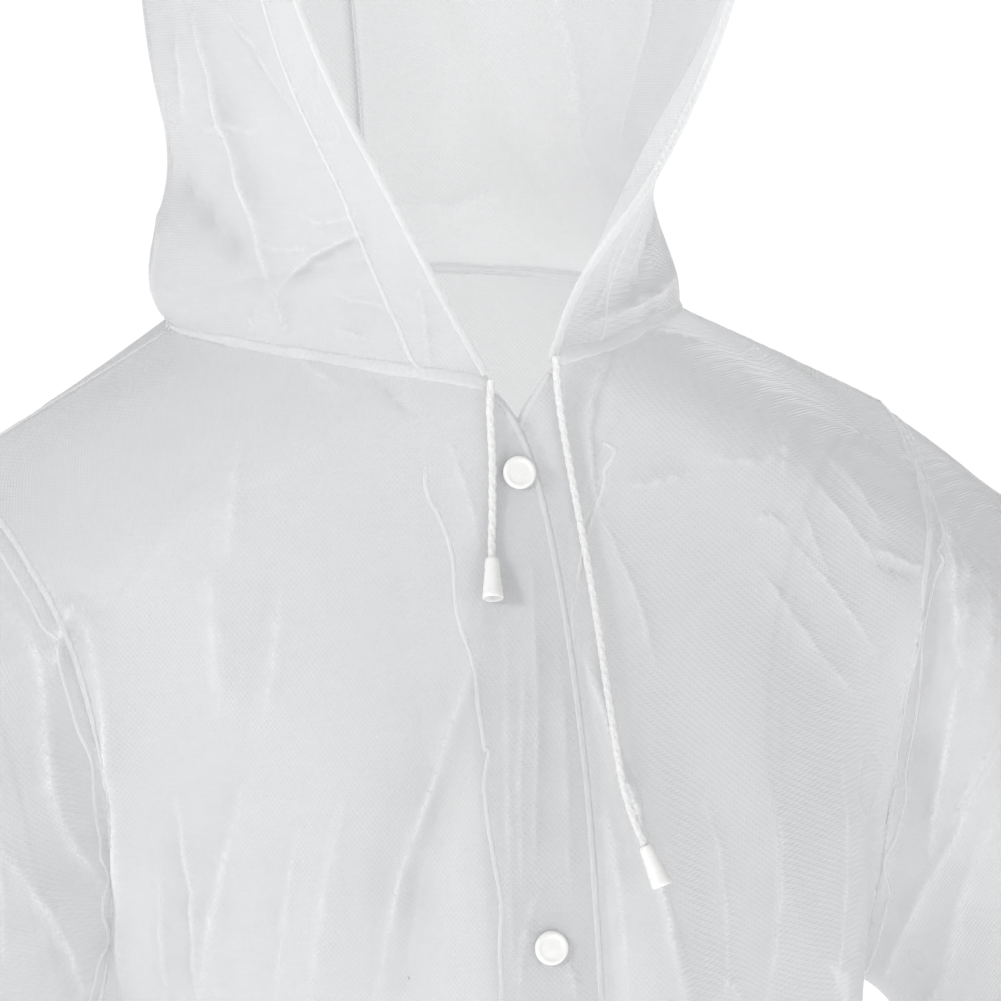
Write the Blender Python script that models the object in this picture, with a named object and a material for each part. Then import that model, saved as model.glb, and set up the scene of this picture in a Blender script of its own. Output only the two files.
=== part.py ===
"""A hooded raincoat of milky film, in the form it has when worn.

The frame is in metres with +Z up. The origin is the middle of the neck's base, the front faces -Y, and +X is
the wearer's left. The tables below are in millimetres, and each one holds the wearer's left half (+X); the
other half is its mirror image, apart from the columns that say otherwise.
"""

import math

import bmesh
import bpy
import numpy as np

MM = 0.001

WALL = 1.2          # film, at the least thickness a solid wall keeps
GAP = 0.3           # between pieces that lie on each other
LAYER_GAP = 0.4     # between a panel and the layer turned in behind it
SEAM_INSET = 0.24   # each piece stops this far short of its seam line
MOST_MITRE = 1.7    # a wall's corner is drawn out no further than this at a sharp seam

YOKE_ROWS = 8       # rows of a panel from the shoulder seam to the end of the neckline
ARM_ROWS = 15       # rows from the shoulder seam to the underarm
SIDE_ROWS = 11      # rows from the underarm to the hem
PANEL_COLUMNS = 14
HOOD_ROWS = 16
SLEEVE_RINGS = 13

CASING_WIDTH = 25.0
FACING_WIDTH = 45.0
STRIP_COLUMNS = 3   # columns of a panel that its facing covers
CASING_STAND_OFF = 9.0  # how far the left casing's free edge hangs away from the hood
STRIP_END = 3.2     # a casing or a facing ends this far from the neck seam
BAND_HEIGHT = 4.4
BAND_CLEARANCE = 0.8
UNDERLAP_DEPTH = 4.6    # how far the under front lies behind the top one where they overlap
HEM_Z = -1030.0
CHEST_Z = -330.0    # where the centre rows reach the height of the underarm
TORSO_MIDDLE_Y = -10.0

CAP_DIAMETER = 13.6
CAP_HEIGHT = 2.4
STUD_DIAMETER = 10.0
CORD_DIAMETER = 3.2
CORD_END_LENGTH = 17.0

FILM = (0.86, 0.87, 0.89, 1.0)
WHITE_PLASTIC = (0.93, 0.93, 0.92, 1.0)
WHITE_BRAID = (0.90, 0.90, 0.89, 1.0)


def table(text):
    """Named columns of numbers: the first line holds the names, and each other line is a row."""
    lines = [line.split() for line in text.strip().splitlines()]
    values = np.array(lines[1:], float)
    return {name: values[:, i] for i, name in enumerate(lines[0])}


# ---------------------------------------------------------------- seam lines, each from its first end down

NECKLINE_FRONT = table("""
    x     y     z
    14  -117   -19
    35  -110   -15
    57   -97   -11
    78   -77    -7
    95   -52    -4
    107  -24    -2
    112    4    -1
    113   30     0
""")

NECKLINE_BACK = table("""
    x     y     z
    113   30    0
    110   52    3
    98    76    7
    76    95   11
    50   106   14
    25   111   16
    0    113   17
""")

ARMHOLE_FRONT = table("""
    x     y     z
    211   20   -51
    209    2   -56
    204  -22   -65
    198  -48   -77
    193  -70   -91
    186  -84  -107
    180  -90  -128
    175  -89  -155
    170  -82  -188
    169  -70  -225
    170  -52  -260
    172  -28  -292
    176    0  -310
""")

ARMHOLE_BACK = table("""
    x     y     z
    211   20   -51
    210   40   -57
    207   62   -72
    202   80   -95
    195   92  -125
    187   96  -160
    180   92  -195
    175   80  -232
    172   58  -268
    173   30  -297
    176    0  -310
""")

SIDE_SEAM = table("""
    x     y     z
    176    0  -310
    184    4  -350
    195    8  -410
    207   12  -500
    222   15  -620
    238   17  -760
    255   19  -900
    268   20 -1030
""")

# The centre front, and where each front's free edge stands beside it: -x is across the centre line.
FRONT_EDGE = table("""
    z      y     top_x  under_x
    -19   -117    14     14
    -25   -118     8.5    8
    -32   -119     3.3   -3.3
    -39   -119.5   0    -10
    -55   -122    -4.5  -21
    -90   -134    -7    -32
    -124  -147    -8    -35
    -176  -160    -8    -36
    -245  -168    -8    -36
    -330  -172    -8    -36
    -450  -174    -8    -36
    -620  -180    -8    -36
    -800  -190    -8    -36
    -1030 -205    -8    -36
""")

BACK_LINE = table("""
    z     y
    17   113
    -20  119
    -80  129
    -150 136
    -220 140
    -330 142
    -450 146
    -600 153
    -800 167
    -1030 185
""")

# A row of a panel is a cubic from its inner end to its outer one. lead and dip place the first handle, as
# shares of the row's width and depth, and side and turn the second one, counted back from the outer end.
ROW_HANDLES = table("""
    row  lead  dip  side  turn
    0    0.33  0.33 0.33  0.33
    4    0.38  0.14 0.30  0.40
    8    0.46  0.02 0.20  0.46
    12   0.55  0.00 0.10  0.50
    15   0.55  0.00 0.08  0.52
    18   0.55  0.00 0.02  0.55
    26   0.55  0.00 0.00  0.55
""")

# The wearer's left side of the neck lies further in and higher than the right, by these amounts at the neck seam.
NECK_PULL = table("""
    x     in   up
    -10    0    0
    0      0    3
    14     2    9
    35     6    6
    60     9    4
    85    10    5
    113    4    1
    150    0    0
""")
NECK_PULL_REACH = 50.0  # mm above and below the seam

# Sections of a hood half from the neckline to the crown. in_l is how much further in the left side lies.
HOOD = table("""
    rim_x rim_y rim_z side_x side_y side_z back_y back_z in_l
    14   -117   -19   113    30      0    113     17    0
    21   -113    -4   121    32      1    117     27    2
    30   -112    13   123    35     12    121     38    5
    42   -118    34   120    35     37    124     62   15
    56   -127    58   107    30     68    124     92   19
    67   -128    79   114    28     92    129    122   16
    81   -129   109   119    25    125    136    160    8
    92   -130   137   121    22    160    139    200    3
    99   -125   178   119    20    205    133    240    0
    94   -119   222   108    14    250    114    277    0
    72   -112   258    82     4    288     86    302    0
    38   -106   284    44    -8    309     58    314    0
    0    -104   292     0   -16    316     44    318    0
""")

# Sections of a sleeve: its top and its underside, seen from the front, and its middle and half depth in Y.
SLEEVE = table("""
    top_x top_z under_x under_z mid_y half_y
    211   -51    176    -310     3    93
    235   -69    187    -314     1    98
    260   -92    198    -322    -1    99
    288  -130    208    -338    -3    97
    316  -195    220    -364    -5    92
    339  -285    232    -408    -7    86
    358  -385    248    -478   -12    80
    374  -485    268    -556   -22    74
    389  -585    290    -632   -34    68
    394  -632    299    -664   -39    65
""")

# ---------------------------------------------------------------- the largest folds

# On the body: each runs from its top down to the hem. Bearings are in degrees round from the centre front
# towards the wearer's left. depth is at the hem, out from the body where it is positive.
BODY_FOLDS = table("""
    top_z top_bearing hem_bearing width depth
    -100     1.5   37.5   7    20
    -105   -12    -66     8   -17
    -95    -42    -84    12     9
    -180   -57   -100    10    -9
    -300   -12    -30    12    14
    -75     12     56     9   -14
    -130    45     78    13    13
    -360    88    100    12   -11
    -360   -86   -114    12    12
    -370   112    120    13    14
    -340  -116   -132    13   -13
    -200   142    142    13   -13
    -190  -140   -150    14    14
    -150   168    163    13    14
    -160  -165   -172    12   -12
""")

# On a sleeve: along is the share of its length where the fold lies, around is in degrees from its top line
# over the front, and twist turns it further round for each share of the length.
SLEEVE_FOLDS = table("""
    along around length width twist depth
    0.16    62    0.12    20    40    -9
    0.24    92    0.16    18   120     8
    0.32   130    0.14    20   150    -8
    0.47    60    0.12    26   160     7
    0.56   120    0.10    24   170    -7
    0.62   230    0.12    26   120     7
    0.36   275    0.14    24  -150    -7
    0.80   150    0.14    26   100     6
""")

# ---------------------------------------------------------------- fastenings

SNAPS = table("""
    x     z
    -5.5  -55
    -13   -238
    -13   -426
    -13   -614
    -13   -802
""")

# The two free ends of the drawcord, from the casing's mouth down.
CORD_RIGHT = table("""
    x      y      z
    -15    -120.5 -17
    -16    -120.6 -27
    -16.2  -121.5 -38
    -16.6  -123   -50
    -17.7  -125.3 -61
    -18.9  -127.6 -73
    -20.2  -130   -81
    -21.2  -132.9 -87
""")

CORD_LEFT = table("""
    x      y      z
    12.5   -120.4  -9
    12.8   -120   -19
    14.8   -119.8 -39
    16.7   -123.3 -59.5
    18.5   -129.3 -83
    19     -136.9 -102.5
    19.2   -144.2 -122
    19.1   -151.3 -141
    19.5   -157.7 -160
    20.4   -162.3 -175.5
    22.4   -166.7 -188.5
    25.7   -171.2 -200
""")


# ---------------------------------------------------------------- curves

def read(knots, values, at):
    """A smooth curve through a table's rows, read at other places. Its slopes are averaged at each row."""
    knots, values, at = (np.asarray(a, float) for a in (knots, values, at))
    if knots[-1] < knots[0]:
        knots, at = -knots, -at
    flat = values.ndim == 1
    values = values.reshape(len(knots), -1)
    step = np.diff(knots)
    slope = np.diff(values, axis=0) / step[:, None]
    tangent = np.vstack([slope[:1], slope[-1:]]).repeat([1, len(knots) - 1], axis=0)
    before, after = step[:-1, None], step[1:, None]
    tangent[1:-1] = (after * slope[:-1] + before * slope[1:]) / (before + after)
    span = np.clip(np.searchsorted(knots, at, side="right") - 1, 0, len(step) - 1)
    width = step[span][:, None]
    t = ((at - knots[span]) / step[span])[:, None]
    result = (
        (1 + 2 * t) * (1 - t) ** 2 * values[span]
        + t * (1 - t) ** 2 * width * tangent[span]
        + t * t * (3 - 2 * t) * values[span + 1]
        + t * t * (t - 1) * width * tangent[span + 1]
    )
    return result[:, 0] if flat else result


def lengths_along(points):
    return np.concatenate([[0], np.cumsum(np.linalg.norm(np.diff(points, axis=0), axis=1))])


def along(columns, shares):
    """Points at these shares of the length of the curve through a table's x, y and z."""
    knots = np.stack([columns["x"], columns["y"], columns["z"]], axis=1)
    rough = lengths_along(knots)
    fine = read(rough, knots, np.linspace(0, rough[-1], 40 * len(knots)))
    return at_lengths(fine, np.asarray(shares) * lengths_along(fine)[-1])


def at_lengths(points, lengths):
    run = lengths_along(points)
    return np.stack([np.interp(lengths, run, points[:, i]) for i in range(3)], axis=1)


def bezier(ends, steps=48):
    t = np.linspace(0, 1, steps + 1)[:, None]
    a, b, c, d = (np.asarray(p, float) for p in ends)
    return (1 - t) ** 3 * a + 3 * (1 - t) ** 2 * t * b + 3 * (1 - t) * t * t * c + t**3 * d


def ramp(value):
    """0 below 0, 1 above 1, and smooth between."""
    value = np.clip(value, 0, 1)
    return value * value * (3 - 2 * value)


# ---------------------------------------------------------------- the shapes of the panels

def folded(points):
    """Body points moved in or out by the folds that pass them."""
    points = points.copy()
    x, y, z = points[..., 0], points[..., 1] - TORSO_MIDDLE_Y, points[..., 2]
    bearing = np.degrees(np.arctan2(x, -y))
    amount = np.zeros(x.shape)
    for top_z, top, hem, width, depth in zip(*BODY_FOLDS.values()):
        down = np.clip((top_z - z) / (top_z - HEM_Z), 0, 1)
        away = (bearing - (top + (hem - top) * down**0.65) + 180) % 360 - 180
        spread = width * (0.55 + 0.45 * down)
        amount += depth * ramp((top_z - z) / 130) * (0.35 + 0.65 * down) * np.exp(-((away / spread) ** 2))
    reach = np.hypot(x, y)
    points[..., 0] += amount * x / reach
    points[..., 1] += amount * y / reach
    return points


def panel_rows(inner, outer, edges, strip):
    """A panel's rows of points, from its inner edge to its outer one.

    Below the neckline a row starts at the centre line, and is cut off, or led on across the line as its own
    mirror image, to end where edges says.
    """
    rows = np.arange(len(inner))
    handles = {key: read(ROW_HANDLES["row"], ROW_HANDLES[key], rows) for key in ("lead", "dip", "side", "turn")}
    grid = []
    for i in rows:
        width, depth, drop = outer[i] - inner[i]
        first = inner[i] + [handles["lead"][i] * width, handles["dip"][i] * depth, drop / 3]
        second = outer[i] - [handles["side"][i] * width, handles["turn"][i] * depth, drop / 3]
        curve = bezier((inner[i], first, second, outer[i]))
        if i > YOKE_ROWS and edges[i] != 0:
            whole = np.vstack([mirrored(curve[:0:-1]), curve])
            start = np.interp(edges[i], whole[:, 0], lengths_along(whole))
            length = lengths_along(whole)[-1]
            curve = at_lengths(whole, np.linspace(start, length, 80))
        total = lengths_along(curve)[-1]
        edge = min(strip, total * STRIP_COLUMNS / PANEL_COLUMNS)
        places = np.concatenate([
            np.linspace(0, edge, STRIP_COLUMNS + 1)[:-1],
            np.linspace(edge, total, PANEL_COLUMNS - STRIP_COLUMNS + 1),
        ])
        grid.append(at_lengths(curve, places))
    return np.array(grid)


def arm_shares():
    """Rows lie closer above the end of the neckline than below it."""
    return np.interp(np.arange(ARM_ROWS + 1), [0, YOKE_ROWS, ARM_ROWS], [0, 0.36, 1])


def neckline_front_shares():
    """From the front's corner: the casing's two columns, then even ones."""
    knots = np.stack([NECKLINE_FRONT[axis] for axis in "xyz"], axis=1)
    total = lengths_along(read(lengths_along(knots), knots, np.linspace(0, lengths_along(knots)[-1], 400)))[-1]
    casing = CASING_WIDTH / total
    return np.concatenate([[0, casing / 2], np.linspace(casing, 1, YOKE_ROWS - 1)])


def centre_heights(top, power):
    """Heights of a panel's rows down its centre edge, from the neckline's end to the hem."""
    chest = top + (CHEST_Z - top) * np.linspace(0, 1, ARM_ROWS - YOKE_ROWS + 1) ** power
    return np.concatenate([chest, np.linspace(CHEST_Z, HEM_Z, SIDE_ROWS + 1)[1:]])


def outer_edge(armhole):
    side = along(SIDE_SEAM, np.linspace(0, 1, SIDE_ROWS + 1))
    return np.vstack([along(armhole, arm_shares()), side[1:]])


def front_grid(edge_column):
    neckline = along(NECKLINE_FRONT, neckline_front_shares())[::-1]
    heights = centre_heights(FRONT_EDGE["z"][0], 1.45)
    centre = np.stack([0 * heights, read(FRONT_EDGE["z"], FRONT_EDGE["y"], heights), heights], axis=1)
    edges = np.concatenate([np.zeros(YOKE_ROWS), read(FRONT_EDGE["z"], FRONT_EDGE[edge_column], heights)])
    return panel_rows(np.vstack([neckline, centre[1:]]), outer_edge(ARMHOLE_FRONT), edges, FACING_WIDTH)


def back_grid():
    neckline = along(NECKLINE_BACK, np.linspace(0, 1, YOKE_ROWS + 1))
    heights = centre_heights(BACK_LINE["z"][0], 1.0)
    line = np.stack([0 * heights, read(BACK_LINE["z"], BACK_LINE["y"], heights), heights], axis=1)
    inner = np.vstack([neckline, line[1:]])
    return panel_rows(inner, outer_edge(ARMHOLE_BACK), np.zeros(len(inner)), math.inf)


def tucked_under(grid):
    """The under front, set back where the top front covers it."""
    grid = grid.copy()
    covered = ramp((26 - grid[..., 0]) / 18)
    below_neck = ramp((FRONT_EDGE["z"][0] - 1 - grid[..., 2]) / 12)
    back = UNDERLAP_DEPTH * covered * below_neck
    back[: YOKE_ROWS + 1] = 0
    grid[..., 1] += back
    return grid


def sleeve_grid(fold):
    """Rings of a sleeve. The first one is the armhole, from the shoulder over the front to the underarm."""
    shares = arm_shares()
    armhole = fold(np.vstack([along(ARMHOLE_FRONT, shares), along(ARMHOLE_BACK, shares)[-2:0:-1]]))
    count = len(armhole)
    columns = np.stack(list(SLEEVE.values()), axis=1)
    length = lengths_along(columns[:, :2] + columns[:, 2:4])
    places = np.linspace(0, 1, SLEEVE_RINGS + 1) ** 1.15 * length[-1]
    sections = read(length, columns, places)
    # Each point keeps its bearing round the armhole, and the bearings even out down the sleeve.
    top, under = armhole[0], armhole[ARM_ROWS]
    height = np.linalg.norm(top - under)
    share_up = ((armhole - under) @ (top - under)) / height**2
    start = np.arccos(np.clip(2 * share_up - 1, -1, 1))
    start[ARM_ROWS + 1:] = 2 * math.pi - start[ARM_ROWS + 1:]
    even = 2 * math.pi * np.arange(count) / count
    rings = [armhole]
    for k in range(1, SLEEVE_RINGS + 1):
        top_x, top_z, under_x, under_z, mid_y, half_y = sections[k]
        share = k / SLEEVE_RINGS
        angle = start + (even - start) * ramp(share * 2)
        up = np.array([top_x - under_x, 0, top_z - under_z]) / 2
        middle = np.array([(top_x + under_x) / 2, mid_y, (top_z + under_z) / 2])
        ring = middle + np.cos(angle)[:, None] * up + np.sin(angle)[:, None] * [0, -half_y, 0]
        # The first rings still hold some of the armhole's own outline.
        first = (top + under) / 2 * [1, 0, 1] + [0, SLEEVE["mid_y"][0], 0]
        plain = first + np.cos(start)[:, None] * (top - under) / 2 * [1, 0, 1]
        plain = plain + np.sin(start)[:, None] * [0, -SLEEVE["half_y"][0], 0]
        ring = ring + (armhole - plain) * (1 - ramp(share * 4))
        out = ring - middle
        out /= np.linalg.norm(out, axis=1)[:, None]
        ring = ring + out * sleeve_fold_depth(share, np.degrees(angle))[:, None]
        rings.append(ring)
    return np.array(rings)


def sleeve_fold_depth(share, around):
    amount = np.zeros(len(around))
    for place, middle, length, width, twist, depth in zip(*SLEEVE_FOLDS.values()):
        turned = (around - middle - twist * (share - place) + 180) % 360 - 180
        amount += depth * np.exp(-((share - place) / length) ** 2) * np.exp(-((turned / width) ** 2))
    return amount * ramp(share * 7)


def hood_grid(left):
    """Rows of a hood half from the neckline to the crown, each from the face's rim to the back seam."""
    columns = np.stack([HOOD[key] for key in list(HOOD)], axis=1)
    length = lengths_along(columns[:, 3:6] + columns[:, 0:3])
    sections = read(length, columns, np.linspace(0, length[-1], HOOD_ROWS + 1))
    front = along(NECKLINE_FRONT, neckline_front_shares())
    back = along(NECKLINE_BACK, np.linspace(0, 1, YOKE_ROWS + 1))
    grid = [np.vstack([front, back[1:]])]
    for k in range(1, HOOD_ROWS + 1):
        rim, side = sections[k, 0:3].copy(), sections[k, 3:6].copy()
        side[0] -= left * sections[k, 8]
        if k == HOOD_ROWS:
            rim[0] = side[0] = 0
        seam = np.array([0, sections[k, 6], sections[k, 7]])
        width, depth, rise = side - rim
        before = bezier((
            rim,
            rim + [0.45 * width, 0.2 * depth, 0.33 * rise],
            side - [0, 0.5 * depth, 0.33 * rise],
            side,
        ))
        total = lengths_along(before)[-1]
        casing = min(CASING_WIDTH, total / 4)
        places = np.concatenate([[0, casing / 2], np.linspace(casing, total, YOKE_ROWS - 1)])
        depth, rise = seam[1] - side[1], seam[2] - side[2]
        after = bezier((
            side,
            side + [0, 0.55 * depth, 0.33 * rise],
            seam + [0.55 * side[0], 0, -0.33 * rise],
            seam,
        ))
        even = np.linspace(0, lengths_along(after)[-1], YOKE_ROWS + 1)[1:]
        grid.append(np.vstack([at_lengths(before, places), at_lengths(after, even)]))
    return np.array(grid)


def mirrored(grid):
    return grid * [-1, 1, 1]


def pulled(points):
    """Points near the neck, with the wearer's left side drawn in and up."""
    near = np.exp(-((points[..., 2] + 5) / NECK_PULL_REACH) ** 2) * ramp((60 - points[..., 1]) / 60)
    at = np.clip(points[..., 0], NECK_PULL["x"][0], NECK_PULL["x"][-1])
    amounts = [read(NECK_PULL["x"], NECK_PULL[key], at.ravel()).reshape(at.shape) * near for key in ("in", "up")]
    return points + np.stack([-amounts[0], 0 * near, amounts[1]], axis=-1)


# ---------------------------------------------------------------- walls

class Sheet:
    """Rows of points on a piece's outer surface, whether each row is a ring, and which way round it faces."""

    def __init__(self, points, ring=False, turned=False):
        self.points = points
        self.ring = ring
        self.turned = turned
        self.normals = np.zeros_like(points)

    def part(self, rows=slice(None), columns=slice(None)):
        piece = Sheet(self.points[rows, columns], self.ring, self.turned)
        piece.normals = self.normals[rows, columns]
        return piece

    def faces(self):
        """Triangles, each as three places. All pieces split their squares the same way, so layers stay apart."""
        rows, columns = self.points.shape[:2]
        for i in range(rows - 1):
            for j in range(columns if self.ring else columns - 1):
                after = (j + 1) % columns
                near, far, low, across = (i, j), (i, after), (i + 1, j), (i + 1, after)
                for face in ((near, far, across), (near, across, low)):
                    yield face[::-1] if self.turned else face


def key_of(point):
    return tuple(np.round(point, 2) + 0.0)


def share_normals(sheets):
    """Normals of all sheets together, so that two pieces have the same one where they meet."""
    faces = {}
    for sheet in sheets:
        for face in sheet.faces():
            a, b, c = (sheet.points[place] for place in face)
            normal = np.cross(b - a, c - a)
            for place in face:
                faces.setdefault(key_of(sheet.points[place]), []).append(normal)
    for sheet in sheets:
        for place in np.ndindex(sheet.points.shape[:2]):
            around = np.array(faces[key_of(sheet.points[place])])
            normal = around.sum(axis=0)
            normal /= np.linalg.norm(normal)
            # Where faces meet at an angle, the wall's corner lies further in than its thickness.
            flat = around / np.linalg.norm(around, axis=1)[:, None]
            lean = max(float((flat @ normal).mean()), 1 / MOST_MITRE)
            sheet.normals[place] = normal / lean


def wall(name, sheets, colour, outer=0.0, inner=WALL):
    """A closed wall between two depths under some sheets that join, set in a little from their own edges."""
    places, points, normals, faces = {}, [], [], []
    for sheet in sheets:
        for corners in sheet.faces():
            face = []
            for place in corners:
                key = key_of(sheet.points[place])
                if key not in places:
                    places[key] = len(points)
                    points.append(sheet.points[place])
                    normals.append(sheet.normals[place])
                face.append(places[key])
            faces.append(face)
    points, normals = np.array(points), np.array(normals)
    edges = open_edges(faces)
    moved = points + inset_of(points, faces, edges)
    mesh = bmesh.new()
    skins = [
        [mesh.verts.new(point * MM) for point in moved - normals * depth]
        for depth in (outer, inner)
    ]
    for face in faces:
        mesh.faces.new([skins[0][i] for i in face])
        mesh.faces.new([skins[1][i] for i in reversed(face)])
    for a, b in edges:
        corners = [skins[0][b], skins[0][a], skins[1][a], skins[1][b]]
        # Two pieces that share a seam split its edge faces along the same line.
        if key_of(points[a]) < key_of(points[b]):
            corners = corners[1:] + corners[:1]
        mesh.faces.new([corners[0], corners[1], corners[2]])
        mesh.faces.new([corners[0], corners[2], corners[3]])
    return finished(name, mesh, colour)


def open_edges(faces):
    """Edges that only one face has, each with its ends in that face's order, and the face's number."""
    sides = {}
    for number, face in enumerate(faces):
        for a, b in zip(face, face[1:] + face[:1]):
            sides[a, b] = number
    return {side: number for side, number in sides.items() if side[::-1] not in sides}


def inset_of(points, faces, edges):
    """How far each point moves, along the surface, so that every open edge lies back by the same amount."""
    ways = {}
    for (a, b), number in edges.items():
        line = points[b] - points[a]
        line /= np.linalg.norm(line)
        into = points[faces[number]].mean(axis=0) - points[a]
        into -= line * (into @ line)
        into /= np.linalg.norm(into)
        for end in (a, b):
            ways.setdefault(end, []).append(into)
    moves = np.zeros_like(points)
    for end, found in ways.items():
        mean = np.mean(found, axis=0)
        moves[end] = SEAM_INSET * mean / max(mean @ mean, 0.3)
    return moves


def finished(name, mesh, colour, roughness=0.35):
    data = bpy.data.meshes.new(name)
    mesh.to_mesh(data)
    mesh.free()
    obj = bpy.data.objects.new(name, data)
    bpy.context.scene.collection.objects.link(obj)
    data.shade_smooth()
    data.set_sharp_from_angle(angle=math.radians(40))
    obj.data.materials.append(material(name, colour, roughness))
    return obj


def material(name, colour, roughness):
    made = bpy.data.materials.new(name)
    made.use_nodes = True
    shader = made.node_tree.nodes["Principled BSDF"]
    shader.inputs["Base Color"].default_value = colour
    shader.inputs["Roughness"].default_value = roughness
    shader.inputs["Metallic"].default_value = 0.0
    return made


# ---------------------------------------------------------------- fastenings and cords

def turned_piece(name, profile, sides, place, along_way, colour, roughness):
    """A round piece: a profile of (radius, height) turned about along_way, from its base at place."""
    mesh = bmesh.new()
    way = np.asarray(along_way, float)
    way /= np.linalg.norm(way)
    across = np.cross(way, [0, 0, 1] if abs(way[2]) < 0.9 else [1, 0, 0])
    across /= np.linalg.norm(across)
    other = np.cross(way, across)
    rings = []
    for radius, height in profile:
        turn = [2 * math.pi * k / sides for k in range(sides)]
        rings.append([
            mesh.verts.new((place + way * height + radius * (math.cos(a) * across + math.sin(a) * other)) * MM)
            for a in turn
        ])
    for low, high in zip(rings, rings[1:]):
        for k in range(sides):
            mesh.faces.new([low[k], low[(k + 1) % sides], high[(k + 1) % sides], high[k]])
    mesh.faces.new(rings[0][::-1])
    mesh.faces.new(rings[-1])
    bmesh.ops.recalc_face_normals(mesh, faces=mesh.faces)
    return finished(name, mesh, colour, roughness)


def surface_at(sheet, x, z):
    """The point and the normal of a front's outer surface at this x and z: its foremost triangle there."""
    best = None
    for face in sheet.faces():
        a, b, c = (sheet.points[place] for place in face)
        sides = np.array([[b[0] - a[0], c[0] - a[0]], [b[2] - a[2], c[2] - a[2]]])
        if abs(np.linalg.det(sides)) < 1e-6:
            continue
        share = np.linalg.solve(sides, [x - a[0], z - a[2]])
        if share.min() < -1e-6 or share.sum() > 1 + 1e-6:
            continue
        place = a + share[0] * (b - a) + share[1] * (c - a)
        normal = np.cross(b - a, c - a)
        if best is None or place[1] < best[0][1]:
            best = place, normal / np.linalg.norm(normal)
    return best


def snap_cap(name, sheet, x, z):
    place, normal = surface_at(sheet, x, z)
    radius = CAP_DIAMETER / 2
    profile = [
        (radius - 0.2, 0.0), (radius, 0.9), (radius - 1.0, 1.8), (radius - 3.4, CAP_HEIGHT),
    ]
    turned_piece(name, profile, 16, place + normal * (GAP + 0.1), normal, WHITE_PLASTIC, 0.25)


def snap_stud(name, sheet, x, z, depth):
    place, normal = surface_at(sheet, x, z)
    radius = STUD_DIAMETER / 2
    profile = [(radius, 0.0), (radius, 0.9), (radius - 1.2, 1.7)]
    turned_piece(name, profile, 12, place - normal * depth, -normal, WHITE_PLASTIC, 0.3)


def cord_points(columns):
    """Points every 2.5 diameters on the smooth curve through a cord's own points."""
    knots = np.stack([columns[axis] for axis in "xyz"], axis=1)
    length = lengths_along(knots)[-1]
    return along(columns, np.linspace(0, 1, max(3, round(length / (2.5 * CORD_DIAMETER))) + 1))


def cord(name, columns):
    points = cord_points(columns)
    data = bpy.data.curves.new(name, "CURVE")
    data.dimensions = "3D"
    data.bevel_depth = CORD_DIAMETER / 2 * MM
    data.bevel_resolution = 2
    data.use_fill_caps = True
    spline = data.splines.new("POLY")
    spline.points.add(len(points) - 1)
    for point, place in zip(spline.points, points):
        point.co = (*(place * MM), 1.0)
    obj = bpy.data.objects.new(name, data)
    bpy.context.scene.collection.objects.link(obj)
    data.materials.append(material(name, WHITE_BRAID, 0.7))


def cord_end(name, columns):
    """A bell that the cord's lower end goes into."""
    points = cord_points(columns)
    way = points[-1] - points[-2]
    way /= np.linalg.norm(way)
    profile = [(2.3, 0.0), (2.9, 1.2), (3.3, 6.0), (3.9, 11.5), (4.3, 15.5), (4.1, CORD_END_LENGTH)]
    turned_piece(name, profile, 16, points[-1] + way * GAP, way, WHITE_PLASTIC, 0.3)


# ---------------------------------------------------------------- the coat

def neck_band(hoods):
    """A narrow band inside the neck seam, from one front corner round the back to the other."""
    runs = [
        [hood.points[0, j] - hood.normals[0, j] * (WALL + GAP) for j in range(hood.points.shape[1])]
        for hood in (hoods["left"], hoods["right"])
    ]
    path = np.array(runs[0] + runs[1][-2::-1])
    inward = -path * [1, 1, 0]
    inward /= np.linalg.norm(inward, axis=1)[:, None]
    path = path + inward * BAND_CLEARANCE
    rise = np.array([0, 0, BAND_HEIGHT / 2])
    band = Sheet(np.array([path - rise, path + rise]))
    band.normals[:] = -inward
    wall("neck_band", [band], FILM)


def casing(name, hood, stand_off):
    """The casing's inner layer. Its free edge may stand off from the hood by stand_off."""
    strip = hood.part(columns=slice(0, 3))
    strip.points = strip.points.copy()
    way = strip.points[1] - strip.points[0]
    strip.points[0] += STRIP_END * way / np.linalg.norm(way, axis=1)[:, None]
    height = strip.points[..., 2]
    low = ramp((height + 15) / 30) * ramp((150 - height) / 90)
    outward = np.array([0, 0.5, 1.0]) * stand_off
    strip.points = strip.points - strip.normals * (outward * low)[..., None]
    wall(name, [strip], FILM, WALL + LAYER_GAP, 2 * WALL + LAYER_GAP)


def facing(name, front):
    strip = front.part(slice(YOKE_ROWS, None), slice(0, STRIP_COLUMNS + 1))
    strip.points = strip.points.copy()
    way = strip.points[1] - strip.points[0]
    strip.points[0] += STRIP_END * way / np.linalg.norm(way, axis=1)[:, None]
    wall(name, [strip], FILM, WALL + LAYER_GAP, 2 * WALL + LAYER_GAP)


def clear_scene():
    for obj in list(bpy.data.objects):
        bpy.data.objects.remove(obj)


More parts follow.
